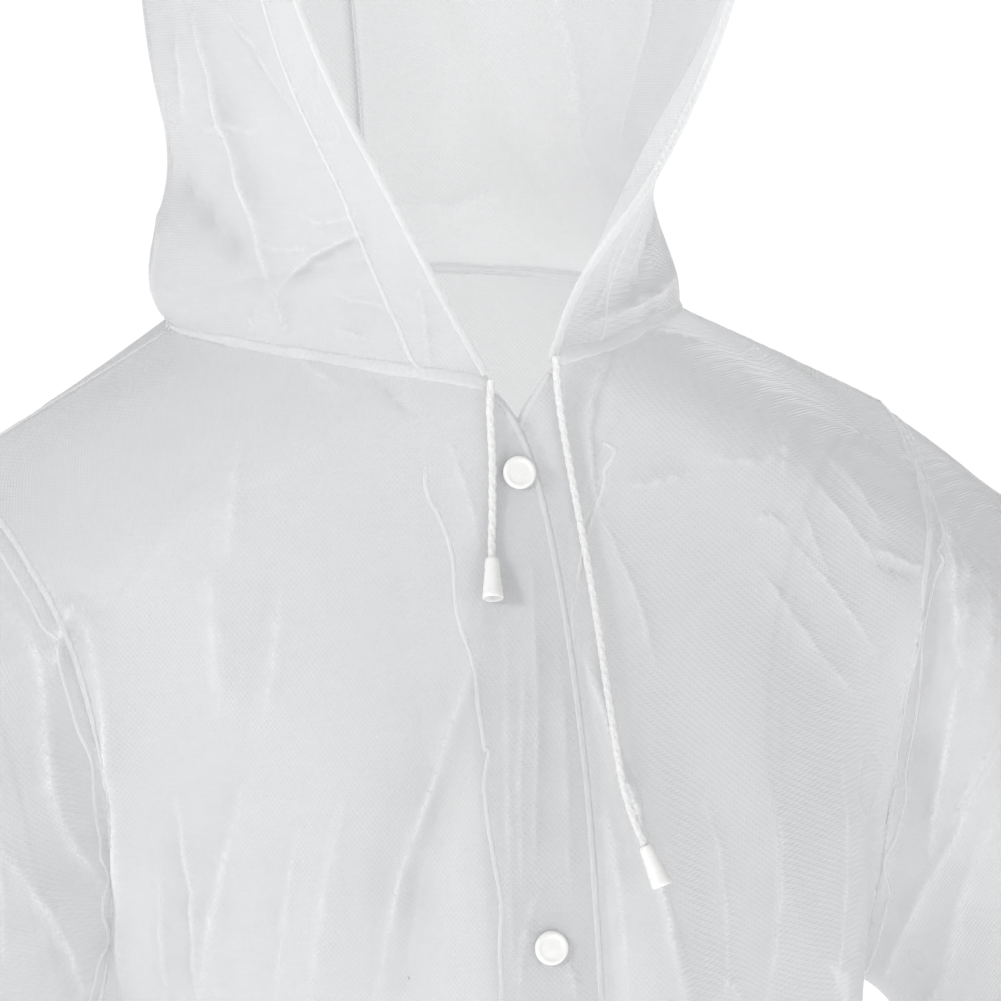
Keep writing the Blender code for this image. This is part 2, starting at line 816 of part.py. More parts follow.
def build():
    clear_scene()
    top = Sheet(folded(mirrored(front_grid("top_x"))))
    under = Sheet(tucked_under(folded(front_grid("under_x"))), turned=True)
    back_left = Sheet(folded(back_grid()))
    back_right = Sheet(folded(mirrored(back_grid())), turned=True)
    sleeve_right = mirrored(sleeve_grid(lambda points: mirrored(folded(mirrored(points)))))
    sleeves = {
        "left": Sheet(sleeve_grid(folded), ring=True),
        "right": Sheet(sleeve_right, ring=True, turned=True),
    }
    hoods = {"left": Sheet(hood_grid(1)), "right": Sheet(mirrored(hood_grid(0)), turned=True)}
    sheets = [top, under, back_left, back_right, *sleeves.values(), *hoods.values()]
    for sheet in sheets:
        sheet.points = pulled(sheet.points)
    share_normals(sheets)

    wall("front_right", [top], FILM)
    wall("front_left", [under], FILM)
    wall("back", [back_left, back_right], FILM)
    for side in ("right", "left"):
        wall("sleeve_" + side, [sleeves[side]], FILM)
        wall("hood_" + side, [hoods[side]], FILM)
    casing("casing_right", hoods["right"], 0.0)
    casing("casing_left", hoods["left"], CASING_STAND_OFF)
    facing("facing_right", top)
    facing("facing_left", under)
    neck_band(hoods)

    for number, (x, z) in enumerate(zip(*SNAPS.values()), start=1):
        snap_cap(f"snap_cap_{number}", top, x, z)
        snap_stud(f"snap_stud_{number}", under, x, z, 2 * WALL + LAYER_GAP + GAP)
    cord("cord_right", CORD_RIGHT)
    cord("cord_left", CORD_LEFT)
    cord_end("cord_end_right", CORD_RIGHT)
    cord_end("cord_end_left", CORD_LEFT)


build()
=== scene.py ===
"""The looks of a hooded raincoat of frosted film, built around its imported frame.

Each panel is a thin shell on the form of its own solid, with creases laid in at their own sizes. Sizes in the
tables are in millimetres. The front faces -Y, and +X is the wearer's left.
"""

import math
import random

import bmesh
import bpy
import numpy as np
from mathutils import Matrix, Vector, noise
from mathutils.bvhtree import BVHTree


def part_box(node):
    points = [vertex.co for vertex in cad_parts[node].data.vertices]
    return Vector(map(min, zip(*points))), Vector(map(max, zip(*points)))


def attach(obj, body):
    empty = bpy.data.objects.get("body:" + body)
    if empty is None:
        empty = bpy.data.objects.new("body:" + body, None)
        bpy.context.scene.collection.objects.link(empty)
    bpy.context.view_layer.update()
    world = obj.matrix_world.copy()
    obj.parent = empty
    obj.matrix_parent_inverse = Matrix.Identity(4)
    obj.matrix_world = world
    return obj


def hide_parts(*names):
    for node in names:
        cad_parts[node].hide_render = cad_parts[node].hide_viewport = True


MM = 0.001
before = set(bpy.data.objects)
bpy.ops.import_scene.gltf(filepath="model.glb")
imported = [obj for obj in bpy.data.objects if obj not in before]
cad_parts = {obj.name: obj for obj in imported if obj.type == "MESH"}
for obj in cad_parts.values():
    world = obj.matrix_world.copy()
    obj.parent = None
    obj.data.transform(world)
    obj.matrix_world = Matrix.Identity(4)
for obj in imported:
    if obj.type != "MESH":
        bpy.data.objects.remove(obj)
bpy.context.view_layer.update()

PANELS = ("front_right", "front_left", "back", "sleeve_right", "sleeve_left", "hood_right", "hood_left")
LININGS = ("casing_right", "casing_left", "facing_right", "facing_left")

WALL_EDGE = 2.6 * MM        # the solids' edge faces have a side shorter than this, and no other face has
SHEET_THICKNESS = 0.45 * MM
SHOWN_BELOW = 0.30          # the closely seen part ends this far below the neck
CORD_DIAMETER = 3.2 * MM
CREASE_RISE = 1.8           # the creases stand this many times as high as the depths in the tables
SEAM_REACH = 2.4 * MM       # sheets that lie this near at their edges are joined there
LAYERS_WITHIN = 18          # a crease reaches the layers that lie this near to it


def table(text):
    """Named columns: the first line holds the names, each other line is a row, and the last column is text."""
    lines = [line.split(None) for line in text.strip().splitlines()]
    names = lines[0]
    rows = []
    for words in lines[1:]:
        row = {name: float(word) for name, word in zip(names[:-1], words)}
        row[names[-1]] = [tuple(float(v) for v in word.split(",")) for word in words[len(names) - 1:]]
        rows.append(row)
    return rows


# ---------------------------------------------------------------- creases

# Each crease follows its points. depth is out from the cloth where it is positive, width is how far it fades
# on each side, and lean makes one side steeper than the other and puts painted shade in the film's colour on that side.
CREASES = table("""
depth width lean points
2.6 5 -0.6 -115,-44,138 -112,-48,123 -109,-51,107 -103,-51,86 -97,-51,66 -93,-57,43 -90,-60,20
-3.0 7 0.3 -110,27,69 -107,-12,53 -104,-34,42 -100,-47,34 -91,-57,18
2.2 2.2 0.4 -87,-64,21 -82,-73,28 -76,-84,35 -68,-93,40 -60,-107,45
-1.6 2.4 0 -85,-65,19 -80,-73,25 -74,-84,32 -67,-94,37 -60,-106,41
1.6 2.5 -0.3 -89,-62,20 -87,-62,14 -86,-64,8 -85,-66,2
1.2 3 0.4 -108,-76,135 -100,-92,120 -93,-97,106 -89,-101,98 -85,-103,89
-1.5 4 0 -113,25,92 -110,40,81 -110,27,69
1.0 3 0 -107,-28,86 -103,-53,89 -97,-68,85 -95,-77,87
1.0 2.2 0.3 -69,-83,19 -63,-87,16 -54,-94,15 -43,-101,9
0.9 2.0 -0.3 -68,-82,4 -63,-87,2 -56,-92,-1
0.9 2.0 0 -93,-60,39 -88,-67,37 -82,-75,37 -77,-83,38
0.9 2.0 0 -96,-48,9 -96,-50,5 -96,-49,2
0.8 2.0 0 -84,-68,-1 -81,-72,-5 -79,-77,-8
1.4 5 0 -111,52,53 -118,26,39 -121,26,22 -119,28,6
1.1 2.2 0.2 -81,-81,51 -75,-89,48 -68,-101,49 -63,-110,52
0.9 2.4 -0.2 -40,-110,22 -37,-106,11 -37,-106,1 -37,-108,-12
1.3 6 0.2 -117,-22,128 -114,-19,107 -111,-6,90
2.6 4 0.4 98,-25,17 84,-50,12 72,-67,9 56,-86,6 41,-98,4 27,-109,1
1.2 2.2 0 46,-100,38 42,-108,32 40,-99,17 32,-105,4
-1.8 5 0 82,-48,42 73,-66,32 67,-71,20 56,-83,13
1.0 2 0 61,-88,39 61,-83,30 57,-84,22
1.6 2.2 0.3 42,-102,-8 33,-113,-17 28,-117,-29 26,-118,-40 26,-119,-52 26,-121,-64 28,-124,-75
-1.2 2.2 0 46,-100,-8 37,-112,-18 31,-117,-29 29,-118,-40 29,-119,-52 29,-122,-65 31,-123,-73
1.5 3.0 0.2 28,-124,-75 33,-128,-93 39,-133,-111 41,-137,-125 43,-140,-136
1.2 2.0 0 63,-85,-6 74,-78,-6 85,-71,-9 98,-62,-12
1.0 2.0 0 54,-91,-5 69,-75,-1 84,-55,1
-1.3 3.0 0 -60,-97,-13 -55,-105,-19 -51,-111,-25 -47,-115,-31
1.1 3.0 0 -83,-73,-8 -78,-86,-13 -70,-99,-20
0.9 2.4 0 -34,-118,-40 -31,-118,-47 -28,-121,-59 -26,-123,-69 -24,-128,-87
4.5 7 0.75 -178,-85,-96 -177,-89,-110 -175,-91,-127 -173,-91,-145 -172,-87,-164 -169,-84,-182 -167,-81,-197 -165,-74,-221 -165,-67,-245 -164,-60,-269
3.2 5 -0.3 -178,-85,-96 -183,-84,-105 -189,-87,-115 -193,-90,-128
3.0 6 0.5 -209,-61,-94 -200,-82,-110 -198,-88,-121 -197,-91,-134 -198,-95,-151 -198,-96,-169 -193,-94,-184 -187,-89,-198 -177,-80,-212 -166,-72,-225
2.6 5 0.5 -220,-101,-189 -213,-98,-200 -205,-93,-213 -198,-88,-225 -192,-81,-237 -180,-55,-268
1.4 8 0 -129,-104,-83 -130,-105,-99 -130,-106,-119 -130,-109,-147
1.2 5 0.3 -103,-112,-94 -106,-113,-112 -109,-115,-129 -114,-117,-147
4.2 6 0.8 -29,-139,-116 -33,-141,-126 -37,-142,-135 -44,-144,-150 -51,-147,-167 -58,-147,-183 -63,-146,-196 -68,-146,-207 -74,-146,-231 -79,-143,-258
-3.0 7 0 -28,-142,-126 -33,-145,-137 -40,-147,-154 -48,-149,-173 -55,-148,-191 -60,-147,-206 -65,-148,-232 -69,-149,-258
2.0 4 0.4 -147,-100,-177 -146,-102,-185 -145,-103,-195 -144,-105,-207 -143,-107,-216 -143,-106,-235 -143,-104,-261
1.8 5 0.3 -123,-118,-170 -126,-118,-182 -129,-117,-193 -135,-115,-215 -140,-111,-239 -142,-105,-261
1.4 4 -0.3 -153,-94,-207 -153,-94,-220 -152,-90,-241 -151,-87,-264
1.2 4 0.2 -104,-131,-185 -109,-131,-209 -113,-130,-233 -116,-127,-258
1.2 5 0 -86,-137,-174 -94,-138,-201 -100,-138,-228 -104,-136,-258
1.0 4 0 -112,-89,-38 -119,-103,-60 -123,-106,-84
1.1 3.5 0.3 -19,-136,-104 -21,-144,-127 -24,-153,-157 -27,-159,-191 -29,-164,-226 -30,-166,-258
1.0 3.0 -0.3 -5,-133,-89 -8,-144,-120 -11,-153,-150 -15,-159,-181 -18,-164,-211
1.2 3.0 0.3 -14,-143,-119 -16,-149,-142 -21,-157,-172 -23,-162,-203 -24,-164,-218
1.0 3.0 0 1,-144,-120 -0,-151,-143 -2,-159,-174 -4,-164,-204 -4,-166,-220
1.3 3.0 0.2 -13,-163,-208 -20,-164,-221 -26,-165,-242 -27,-166,-258
1.0 3.0 0 -7,-167,-243 -5,-168,-251 -4,-169,-260
5.0 4.5 0.7 9,-140,-119 13,-145,-134 17,-153,-155 21,-159,-174 24,-164,-190 27,-168,-206 32,-170,-220 36,-169,-239 42,-169,-266
-3.2 6 0 19,-144,-130 22,-151,-148 25,-158,-165 30,-161,-184 34,-164,-204 40,-165,-221 46,-164,-242 50,-165,-267
1.4 2.5 0 24,-159,-174 25,-162,-184 25,-164,-192 26,-167,-201
1.6 4 0.3 13,-159,-183 15,-162,-199 16,-165,-218 17,-166,-238 17,-168,-263
1.1 4 0 58,-146,-186 64,-147,-210 65,-149,-239 63,-154,-271
1.3 5 0.2 92,-137,-186 94,-139,-215 91,-142,-243 85,-144,-276
1.2 4 0 133,-112,-186 132,-118,-218 128,-120,-251 124,-121,-286
1.2 3 0 59,-155,-259 66,-150,-265 71,-149,-273
1.6 2.6 0.3 126,-102,-67 136,-102,-78 147,-100,-92 156,-97,-105 162,-95,-113
1.5 2.6 0.3 112,-109,-90 123,-107,-103 137,-104,-119 152,-98,-139 157,-95,-146
1.3 3.0 0 95,-114,-99 108,-113,-117 122,-111,-137 137,-106,-154 149,-99,-164
2.0 2.2 0.2 156,-97,-101 164,-94,-104 174,-91,-109 185,-87,-113
-1.4 2.4 0 154,-98,-105 164,-95,-109 174,-91,-113 183,-86,-117
1.2 2.0 0 98,-112,-84 102,-111,-82 106,-110,-82 111,-109,-86 115,-108,-90
1.2 4.0 0 121,-91,-47 116,-102,-56 112,-107,-66
1.2 3.0 0.2 75,-113,-54 89,-111,-58 105,-108,-60 117,-100,-55
1.1 3.0 0 135,-90,-56 148,-91,-69 157,-93,-83 164,-93,-94
1.0 3.0 0 158,-61,-52 174,-53,-60 183,-60,-73
1.0 2.6 0 121,-106,-77 126,-106,-94 134,-104,-111
1.2 4.0 0.3 70,-115,-60 56,-117,-63 40,-120,-64
3.6 4.5 -0.6 198,-64,-89 190,-79,-101 184,-87,-115 179,-89,-136 174,-89,-155 171,-86,-172 168,-82,-191 170,-73,-218 173,-62,-246 174,-53,-264
3.4 4.5 0.6 202,-66,-94 199,-78,-104 196,-86,-116 195,-90,-128 194,-93,-143 196,-95,-155
2.4 4.0 0.4 196,-95,-155 193,-94,-167 191,-93,-178 188,-88,-202 186,-81,-226 187,-75,-242
1.6 3 0 212,-60,-95 207,-74,-105 203,-84,-117 199,-92,-135 196,-95,-155
2.2 3.4 0.2 199,-36,-69 198,-47,-77 199,-57,-84 199,-63,-89
-3.0 6 0 191,-83,-110 189,-89,-126 185,-92,-147 180,-89,-173 178,-83,-199 178,-75,-227
2.0 3.0 0 213,-99,-189 206,-96,-202 200,-91,-213 195,-85,-231 191,-78,-242 187,-69,-255 184,-54,-276 184,-41,-289 190,-16,-310
1.2 2.4 0 212,-99,-184 204,-95,-199 197,-91,-211 193,-85,-227
1.8 5 0 218,-75,-113 213,-90,-132 207,-96,-152 201,-97,-169
1.6 5 0 213,-97,-213 206,-88,-236 201,-77,-259 202,-62,-289 206,-46,-312
""")

# Creases away from the photographed part, by bearing in degrees round from the front towards the wearer's left,
# and height. On a sleeve they are by degrees round from its top line over the front, and by share of its length.
BODY_CREASES = table("""
depth width lean points
-2.6  6   0.3  24,-300 27,-420 30,-560 34,-720
2.4   5   0.4  8,-420 11,-560 16,-720 19,-900
-2.0  6   0    44,-360 50,-500 58,-660 62,-820
2.2   5  -0.3  -20,-330 -26,-470 -32,-620 -36,-800
-2.4  6   0.2  -38,-300 -46,-430 -55,-600 -60,-790
1.8   4   0.5  -8,-560 -12,-700 -16,-860 -17,-980
2.0   5   0.3  70,-330 73,-450 78,-600 80,-760
-2.2  6   0   -74,-340 -80,-480 -88,-640 -92,-860
1.6   4   0.4  56,-620 60,-760 63,-900 64,-1000
1.8   4  -0.4  -64,-560 -69,-700 -74,-860 -76,-1000
1.5   4   0.4  30,-760 34,-880 36,-1000
-1.6  5   0    -48,-740 -50,-860 -53,-1000
2.4   5   0.4  178,-60 174,-150 168,-260 163,-380
2.0   5   0.3  160,-90 152,-170 147,-260 145,-370
2.2   5  -0.3  -165,-80 -158,-160 -152,-260 -150,-400
-2.2  6   0    -178,-200 -176,-330 -174,-470 -173,-640
-2.4  7   0.2  132,-200 134,-330 137,-480 140,-660
2.4   6   0.3  120,-260 124,-400 128,-560 131,-760
-2.2  6   0    -128,-230 -131,-360 -134,-520 -136,-700
2.2   5   0.4  -142,-300 -146,-450 -150,-620 -152,-820
2.0   5  -0.4  158,-480 161,-620 165,-780 167,-960
1.8   5   0.3  -164,-520 -166,-680 -168,-840 -169,-990
-1.8  5   0    110,-420 113,-580 115,-740 116,-930
1.6   4   0.4  -112,-400 -116,-560 -119,-720 -121,-900
1.4   3   0.4  118,-110 128,-150 138,-200
1.4   3   0.3  112,-140 122,-190 132,-250
-1.4  4   0    -116,-120 -126,-160 -138,-215
1.4   3  -0.3  -110,-160 -120,-215 -131,-270
1.2  2.6  0.3  150,-60 142,-100 134,-130
1.2  2.6 -0.3  -150,-64 -141,-98 -132,-140
""")
SLEEVE_CREASES = table("""
depth width lean points
2.4   5   0.4  40,0.10 75,0.17 112,0.24
-2.2  5   0    60,0.20 95,0.28 132,0.34
2.2   4   0.4  35,0.30 72,0.36 110,0.44
2.0   4  -0.3  52,0.44 90,0.50 128,0.58
-2.0  5   0.2  30,0.54 70,0.60 112,0.66
1.8   4   0.4  48,0.66 86,0.72 124,0.80
1.6   4   0.3  20,0.78 60,0.84 96,0.90
2.2   5   0.4  -40,0.12 -76,0.20 -112,0.27
-2.0  5   0    -56,0.26 -92,0.33 -128,0.40
2.0   4   0.3  -34,0.38 -72,0.46 -112,0.54
1.8   4  -0.4  -50,0.56 -88,0.62 -126,0.70
-1.6  4   0    -30,0.70 -70,0.78 -108,0.86
1.8   4   0.4  8,0.08 2,0.26 -6,0.46
1.4   3   0    14,0.50 8,0.66 4,0.84
2.0   4   0.3  150,0.22 168,0.30 190,0.38
1.8   4   0.3  160,0.46 180,0.55 204,0.62
""")
HOOD_CREASES = table("""
depth width lean points
2.0   5   0.3  118,30 128,90 140,150 158,205
-2.0  6   0    132,22 146,70 160,120 172,170
1.8   4   0.4  100,60 104,120 112,180 122,230
-1.6  5   0    92,150 98,200 108,245
2.0   5  -0.3  -118,34 -128,96 -142,158 -160,210
1.8   4   0.3  -140,26 -152,76 -164,126 -174,176
-1.8  5   0    -98,140 -106,195 -118,240
1.4   3   0.3  150,40 160,30 172,36
1.4   3   0.3  -150,44 -162,34 -174,38
1.6   4   0.4  84,200 96,236 120,262
1.6   4  -0.4  -84,205 -98,240 -122,264
""")


def nearest_on(points, line):
    """For each point: its distance to a line of points, the share of the way along it, and the offset to it."""
    line = np.array(line) * MM
    run = np.concatenate([[0], np.cumsum(np.linalg.norm(np.diff(line, axis=0), axis=1))])
    best = np.full(len(points), np.inf)
    share = np.zeros(len(points))
    offset = np.zeros_like(points)
    tangent = np.zeros_like(points)
    for a, b, start, end in zip(line[:-1], line[1:], run[:-1], run[1:]):
        way = b - a
        t = np.clip((points - a) @ way / (way @ way), 0, 1)
        away = points - (a + t[:, None] * way)
        distance = np.linalg.norm(away, axis=1)
        closer = distance < best
        best[closer] = distance[closer]
        share[closer] = (start + t * (end - start))[closer] / run[-1]
        offset[closer] = away[closer]
        tangent[closer] = way / np.linalg.norm(way)
    return best, share, offset, tangent


def near_crease(points, crease, reach):
    """Which points lie near enough to a crease to feel it."""
    line = np.array(crease["points"]) * MM
    margin = reach * MM
    return np.all((points > line.min(axis=0) - margin) & (points < line.max(axis=0) + margin), axis=1)


def crease_heights(points, normals, creases):
    """How far each point moves along its normal because of the creases, and how the film's colour and density change
    there.

    That value is above 0 on the crests, where the film is milkier and lighter, partly stress whitening and partly a
    painted highlight. It is below 0 in the hollows beside them and on the steep side of a leaning crest, where the film
    is clearer and darker, which is painted shade.
    """
    height, fold_milk_and_painted_shade = np.zeros(len(points)), np.zeros(len(points))
    for crease in creases:
        picked = np.flatnonzero(near_crease(points, crease, 5 * crease["width"] + LAYERS_WITHIN))
        if not len(picked):
            continue
        _, share, offset, tangent = nearest_on(points[picked], crease["points"])
        normal = normals[picked]
        through = np.einsum("ij,ij->i", offset, normal)
        distance = np.linalg.norm(offset - through[:, None] * normal, axis=1)
        side = np.sign(np.einsum("ij,ij->i", np.cross(tangent, offset), normal))
        lean = crease["lean"] * side
        width = crease["width"] * MM * (1 + 0.7 * lean)
        ends = np.sin(math.pi * np.clip(share, 0.001, 0.999)) ** 0.75
        wobble = 0.8 + 0.2 * np.sin(share * 23 + crease["depth"] * 7)
        rounded = np.sqrt(distance**2 + (0.35 * MM) ** 2)
        here = ends * wobble * (np.abs(through) < LAYERS_WITHIN * MM)
        height[picked] += crease["depth"] * CREASE_RISE * MM * here * np.exp(-((rounded / width) ** 1.15))
        spread = crease["width"] * MM
        strength = min(1.0, abs(crease["depth"]) / 3.5 + 0.3)
        # Crests get a milkier colour, partly stress whitening and partly a painted highlight; hollows and the steep
        # side of a leaning crest get painted shade.
        if crease["depth"] > 0:
            crest = strength * np.exp(-((distance / (0.34 * spread)) ** 1.6))
            painted_crease_shade = np.clip(-lean, 0, 1) ** 0.5 * np.exp(-((distance / (2.4 * spread)) ** 1.5))
        else:
            crest, painted_crease_shade = 0.0, 0.7 * np.exp(-((distance / spread) ** 2))
        fold_milk_and_painted_shade[picked] += strength * here * (crest - 0.8 * painted_crease_shade)
    return height, np.clip(fold_milk_and_painted_shade, -1, 1)


# ---------------------------------------------------------------- film sheets on the solids' forms

def outer_skin(name):
    """The outer face of a wall, as joined squares: the solid's copy without its edge faces and its inner face."""
    skin = bmesh.new()
    skin.from_mesh(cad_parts[name].data)
    bmesh.ops.remove_doubles(skin, verts=skin.verts, dist=0.02 * MM)
    edge_faces = [f for f in skin.faces if min(e.calc_length() for e in f.edges) < WALL_EDGE]
    bmesh.ops.delete(skin, geom=edge_faces, context="FACES")
    for island in islands_of(skin):
        middle = sum((f.calc_center_median() for f in island), Vector()) / len(island)
        outward = 0.0
        for face in island:
            centre = face.calc_center_median()
            pivot = middle if "sleeve" in name else Vector((0, 0, centre.z))
            outward += face.normal.dot(centre - pivot) * face.calc_area()
        if outward < 0:
            bmesh.ops.delete(skin, geom=island, context="FACES")
    bmesh.ops.join_triangles(
        skin, faces=skin.faces, angle_face_threshold=math.pi, angle_shape_threshold=math.pi
    )
    return skin


def islands_of(mesh):
    """The faces of each joined part, in the mesh's own order."""
    seen, islands = set(), []
    for start in mesh.faces:
        if start in seen:
            continue
        stack, island = [start], []
        seen.add(start)
        while stack:
            face = stack.pop()
            island.append(face)
            for edge in face.edges:
                for other in edge.link_faces:
                    if other not in seen:
                        seen.add(other)
                        stack.append(other)
        islands.append(island)
    return islands


def smoothed(mesh, name, levels):
    """The mesh after Subdivision Surface."""
    data = bpy.data.meshes.new(name + "_form")
    mesh.to_mesh(data)
    mesh.free()
    obj = bpy.data.objects.new(name + "_form", data)
    bpy.context.scene.collection.objects.link(obj)
    step = obj.modifiers.new("round", "SUBSURF")
    step.levels = step.render_levels = levels
    step.boundary_smooth = "PRESERVE_CORNERS"
    graph = bpy.context.evaluated_depsgraph_get()
    made = bpy.data.meshes.new_from_object(obj.evaluated_get(graph))
    result = bmesh.new()
    result.from_mesh(made)
    bpy.data.objects.remove(obj)
    bpy.data.meshes.remove(data)
    bpy.data.meshes.remove(made)
    return result


def places_of(mesh):
    return np.array([v.co for v in mesh.verts])


def refine(mesh, creases, near_step, far_step, rounds):
    """Splits edges until they are short enough for the creases that pass them."""
    bmesh.ops.triangulate(mesh, faces=mesh.faces)
    for _ in range(rounds):
        mesh.verts.index_update()
        mesh.normal_update()
        points = places_of(mesh)
        normals = np.array([v.normal for v in mesh.verts])
        ends = np.array([(e.verts[0].index, e.verts[1].index) for e in mesh.edges])
        middle = (points[ends[:, 0]] + points[ends[:, 1]]) / 2
        length = np.linalg.norm(points[ends[:, 0]] - points[ends[:, 1]], axis=1)
        shown = (middle[:, 2] > -SHOWN_BELOW) & (middle[:, 1] < 0.05)
        wanted = np.where(shown, far_step, far_step * 1.7) * MM
        coarse = np.where(shown, 1.0, 2.0)
        for crease in creases:
            picked = np.flatnonzero(near_crease(middle, crease, 3 * crease["width"] + LAYERS_WITHIN))
            if not len(picked):
                continue
            _, _, offset, _ = nearest_on(middle[picked], crease["points"])
            normal = normals[ends[picked, 0]]
            offset = offset - np.einsum("ij,ij->i", offset, normal)[:, None] * normal
            distance = np.linalg.norm(offset, axis=1)
            steep = crease["width"] * (1 - abs(crease["lean"]))
            fine = near_step * MM * np.clip(steep / 2.5, 0.8, 2.0) * coarse[picked]
            wanted[picked] = np.minimum(wanted[picked], fine + 0.5 * distance)
        split = [edge for edge, cut in zip(mesh.edges, length > 1.5 * wanted) if cut]
        if not split:
            break
        bmesh.ops.subdivide_edges(mesh, edges=split, cuts=1, use_grid_fill=False)
        bmesh.ops.triangulate(mesh, faces=[f for f in mesh.faces if len(f.verts) > 3])
    inner = [v for v in mesh.verts if not v.is_boundary]
    for _ in range(5):
        bmesh.ops.smooth_vert(
            mesh, verts=inner, factor=0.5, use_axis_x=True, use_axis_y=True, use_axis_z=True
        )
    mesh.normal_update()


def crinkle(place, calm):
    """Small folded facets, uneven over the cloth."""
    patch = max(0.0, noise.noise(place * 9 + Vector((3, 1, 7))) + 0.35)
    near = noise.voronoi(place * 38 + noise.noise_vector(place * 25) * 0.5)[0]
    ridge = max(0.0, 1 - (near[1] - near[0]) / 0.22)
    soft = noise.noise(place * 24) * 0.45 + noise.noise(place * 70) * 0.12
    return (0.34 * ridge * patch + soft) * calm


def creased(mesh, creases, calm, others):
    """Moves the mesh by the creases and the small crinkles. At a seam, two sheets move the same way."""
    points = places_of(mesh)
    normals = np.array([v.normal for v in mesh.verts])
    for i, vertex in enumerate(mesh.verts):
        if not vertex.is_boundary:
            continue
        for tree in others:
            place, normal, _, gap = tree.find_nearest(vertex.co)
            if gap < SEAM_REACH:
                points[i] = (vertex.co + place) / 2
                normals[i] = (vertex.normal + normal).normalized()
                break
    height, fold_milk_and_painted_shade = crease_heights(points, normals, creases)
    # This layer carries the crease value to the film's colour: milkier crests, partly a painted highlight, and painted
    # shade in the hollows.
    milk_and_shade_layer = mesh.verts.layers.float.new("fold_milk_and_painted_shade")
    small = np.array([crinkle(Vector(p), calm) for p in points]) * MM
    for vertex, normal, amount, share in zip(mesh.verts, normals, height + small, fold_milk_and_painted_shade):
        vertex.co += Vector(normal) * float(amount)
        vertex[milk_and_shade_layer] = float(share)
    inner = [v for v in mesh.verts if not v.is_boundary]
    bmesh.ops.smooth_vert(mesh, verts=inner, factor=0.4, use_axis_x=True, use_axis_y=True, use_axis_z=True)
    mesh.normal_update()


def film_object(name, mesh, material, thickness=SHEET_THICKNESS):
    """A finished sheet: the mesh as an object, with its thickness."""
    data = bpy.data.meshes.new(name)
    mesh.to_mesh(data)
    data.shade_smooth()
    obj = bpy.data.objects.new(name, data)
    bpy.context.scene.collection.objects.link(obj)
    data.materials.append(material)
    if thickness:
        wall = obj.modifiers.new("thickness", "SOLIDIFY")
        wall.thickness = thickness
        wall.offset = -1
    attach(obj, "root")
    return obj


# ---------------------------------------------------------------- lines on the sheets

def open_runs(mesh, wanted):
    """Chains of points along a sheet's open edges, kept where wanted(point) holds, longest first."""
    links = {}
    for edge in mesh.edges:
        if edge.is_boundary and all(wanted(v.co) for v in edge.verts):
            a, b = edge.verts
            links.setdefault(a, []).append(b)
            links.setdefault(b, []).append(a)
    runs, seen = [], set()
    starts = [v for v in links if len(links[v]) == 1] + list(links)
    for start in starts:
        if start in seen:
            continue
        run, here = [start], start
        seen.add(start)
        while True:
            after = [v for v in links[here] if v not in seen]
            if not after:
                break
            here = after[0]
            seen.add(here)
            run.append(here)
        if start in links[here] and len(run) > 2:
            run.append(start)
        runs.append([v.co.copy() for v in run])
    return sorted(runs, key=run_length, reverse=True)


def run_length(run):
    return sum((b - a).length for a, b in zip(run, run[1:]))


def evened(run, step, soften=2):
    """The run as points of even spacing, a little softened."""
    points = np.array(run)
    reach = np.concatenate([[0], np.cumsum(np.linalg.norm(np.diff(points, axis=0), axis=1))])
    count = max(4, round(reach[-1] / step))
    at = np.linspace(0, reach[-1], count + 1)
    points = np.stack([np.interp(at, reach, points[:, k]) for k in range(3)], axis=1)
    for _ in range(soften):
        points[1:-1] = (points[:-2] + 2 * points[1:-1] + points[2:]) / 4
    return [Vector(p) for p in points]


def gap_to(place, *names):
    return min(trees[name].find_nearest(place)[3] for name in names)


def seam_between(first, second, step=3 * MM):
    """The line where two sheets meet."""
    run = open_runs(skins[first], lambda p: gap_to(p, second) < SEAM_REACH)[0]
    return evened([(p + trees[second].find_nearest(p)[0]) / 2 for p in run], step)


def free_edge(name, others, step=3 * MM, number=0):
    """A sheet's own edge, away from the sheets that it is joined to."""
    run = open_runs(skins[name], lambda p: gap_to(p, *others) > SEAM_REACH)[number]
    return evened(run, step)


def on_skin(place, names):
    """The nearest place on any of these sheets, and its normal."""
    found = [trees[name].find_nearest(place) for name in names]
    place, normal, _, _ = min(found, key=lambda hit: hit[3])
    return place, normal


def moved_in(run, name, distance, waver=0.0):
    """The run led over the sheet, away from its open edge."""
    middle = Vector(np.mean([v.co for v in skins[name].verts], axis=0))
    moved = []
    for i, place in enumerate(run):
        along = (run[min(i + 1, len(run) - 1)] - run[max(i - 1, 0)]).normalized()
        spot, normal = on_skin(place, [name])
        way = along.cross(normal).normalized()
        probe = [trees[name].find_nearest(spot + way * s * 6 * MM) for s in (1, -1)]
        gone = [(hit[0] - spot).length for hit in probe]
        if gone[1] > gone[0]:
            way = -way
        left = distance + waver * noise.noise(place * 30)
        steps = max(1, round(left / (5 * MM)))
        for _ in range(steps):
            spot, normal = on_skin(spot + way * left / steps, [name])
            way = (way - normal * way.dot(normal)).normalized()
        moved.append(spot)
    return evened(moved, run_length(moved) / (len(moved) - 1), soften=3)


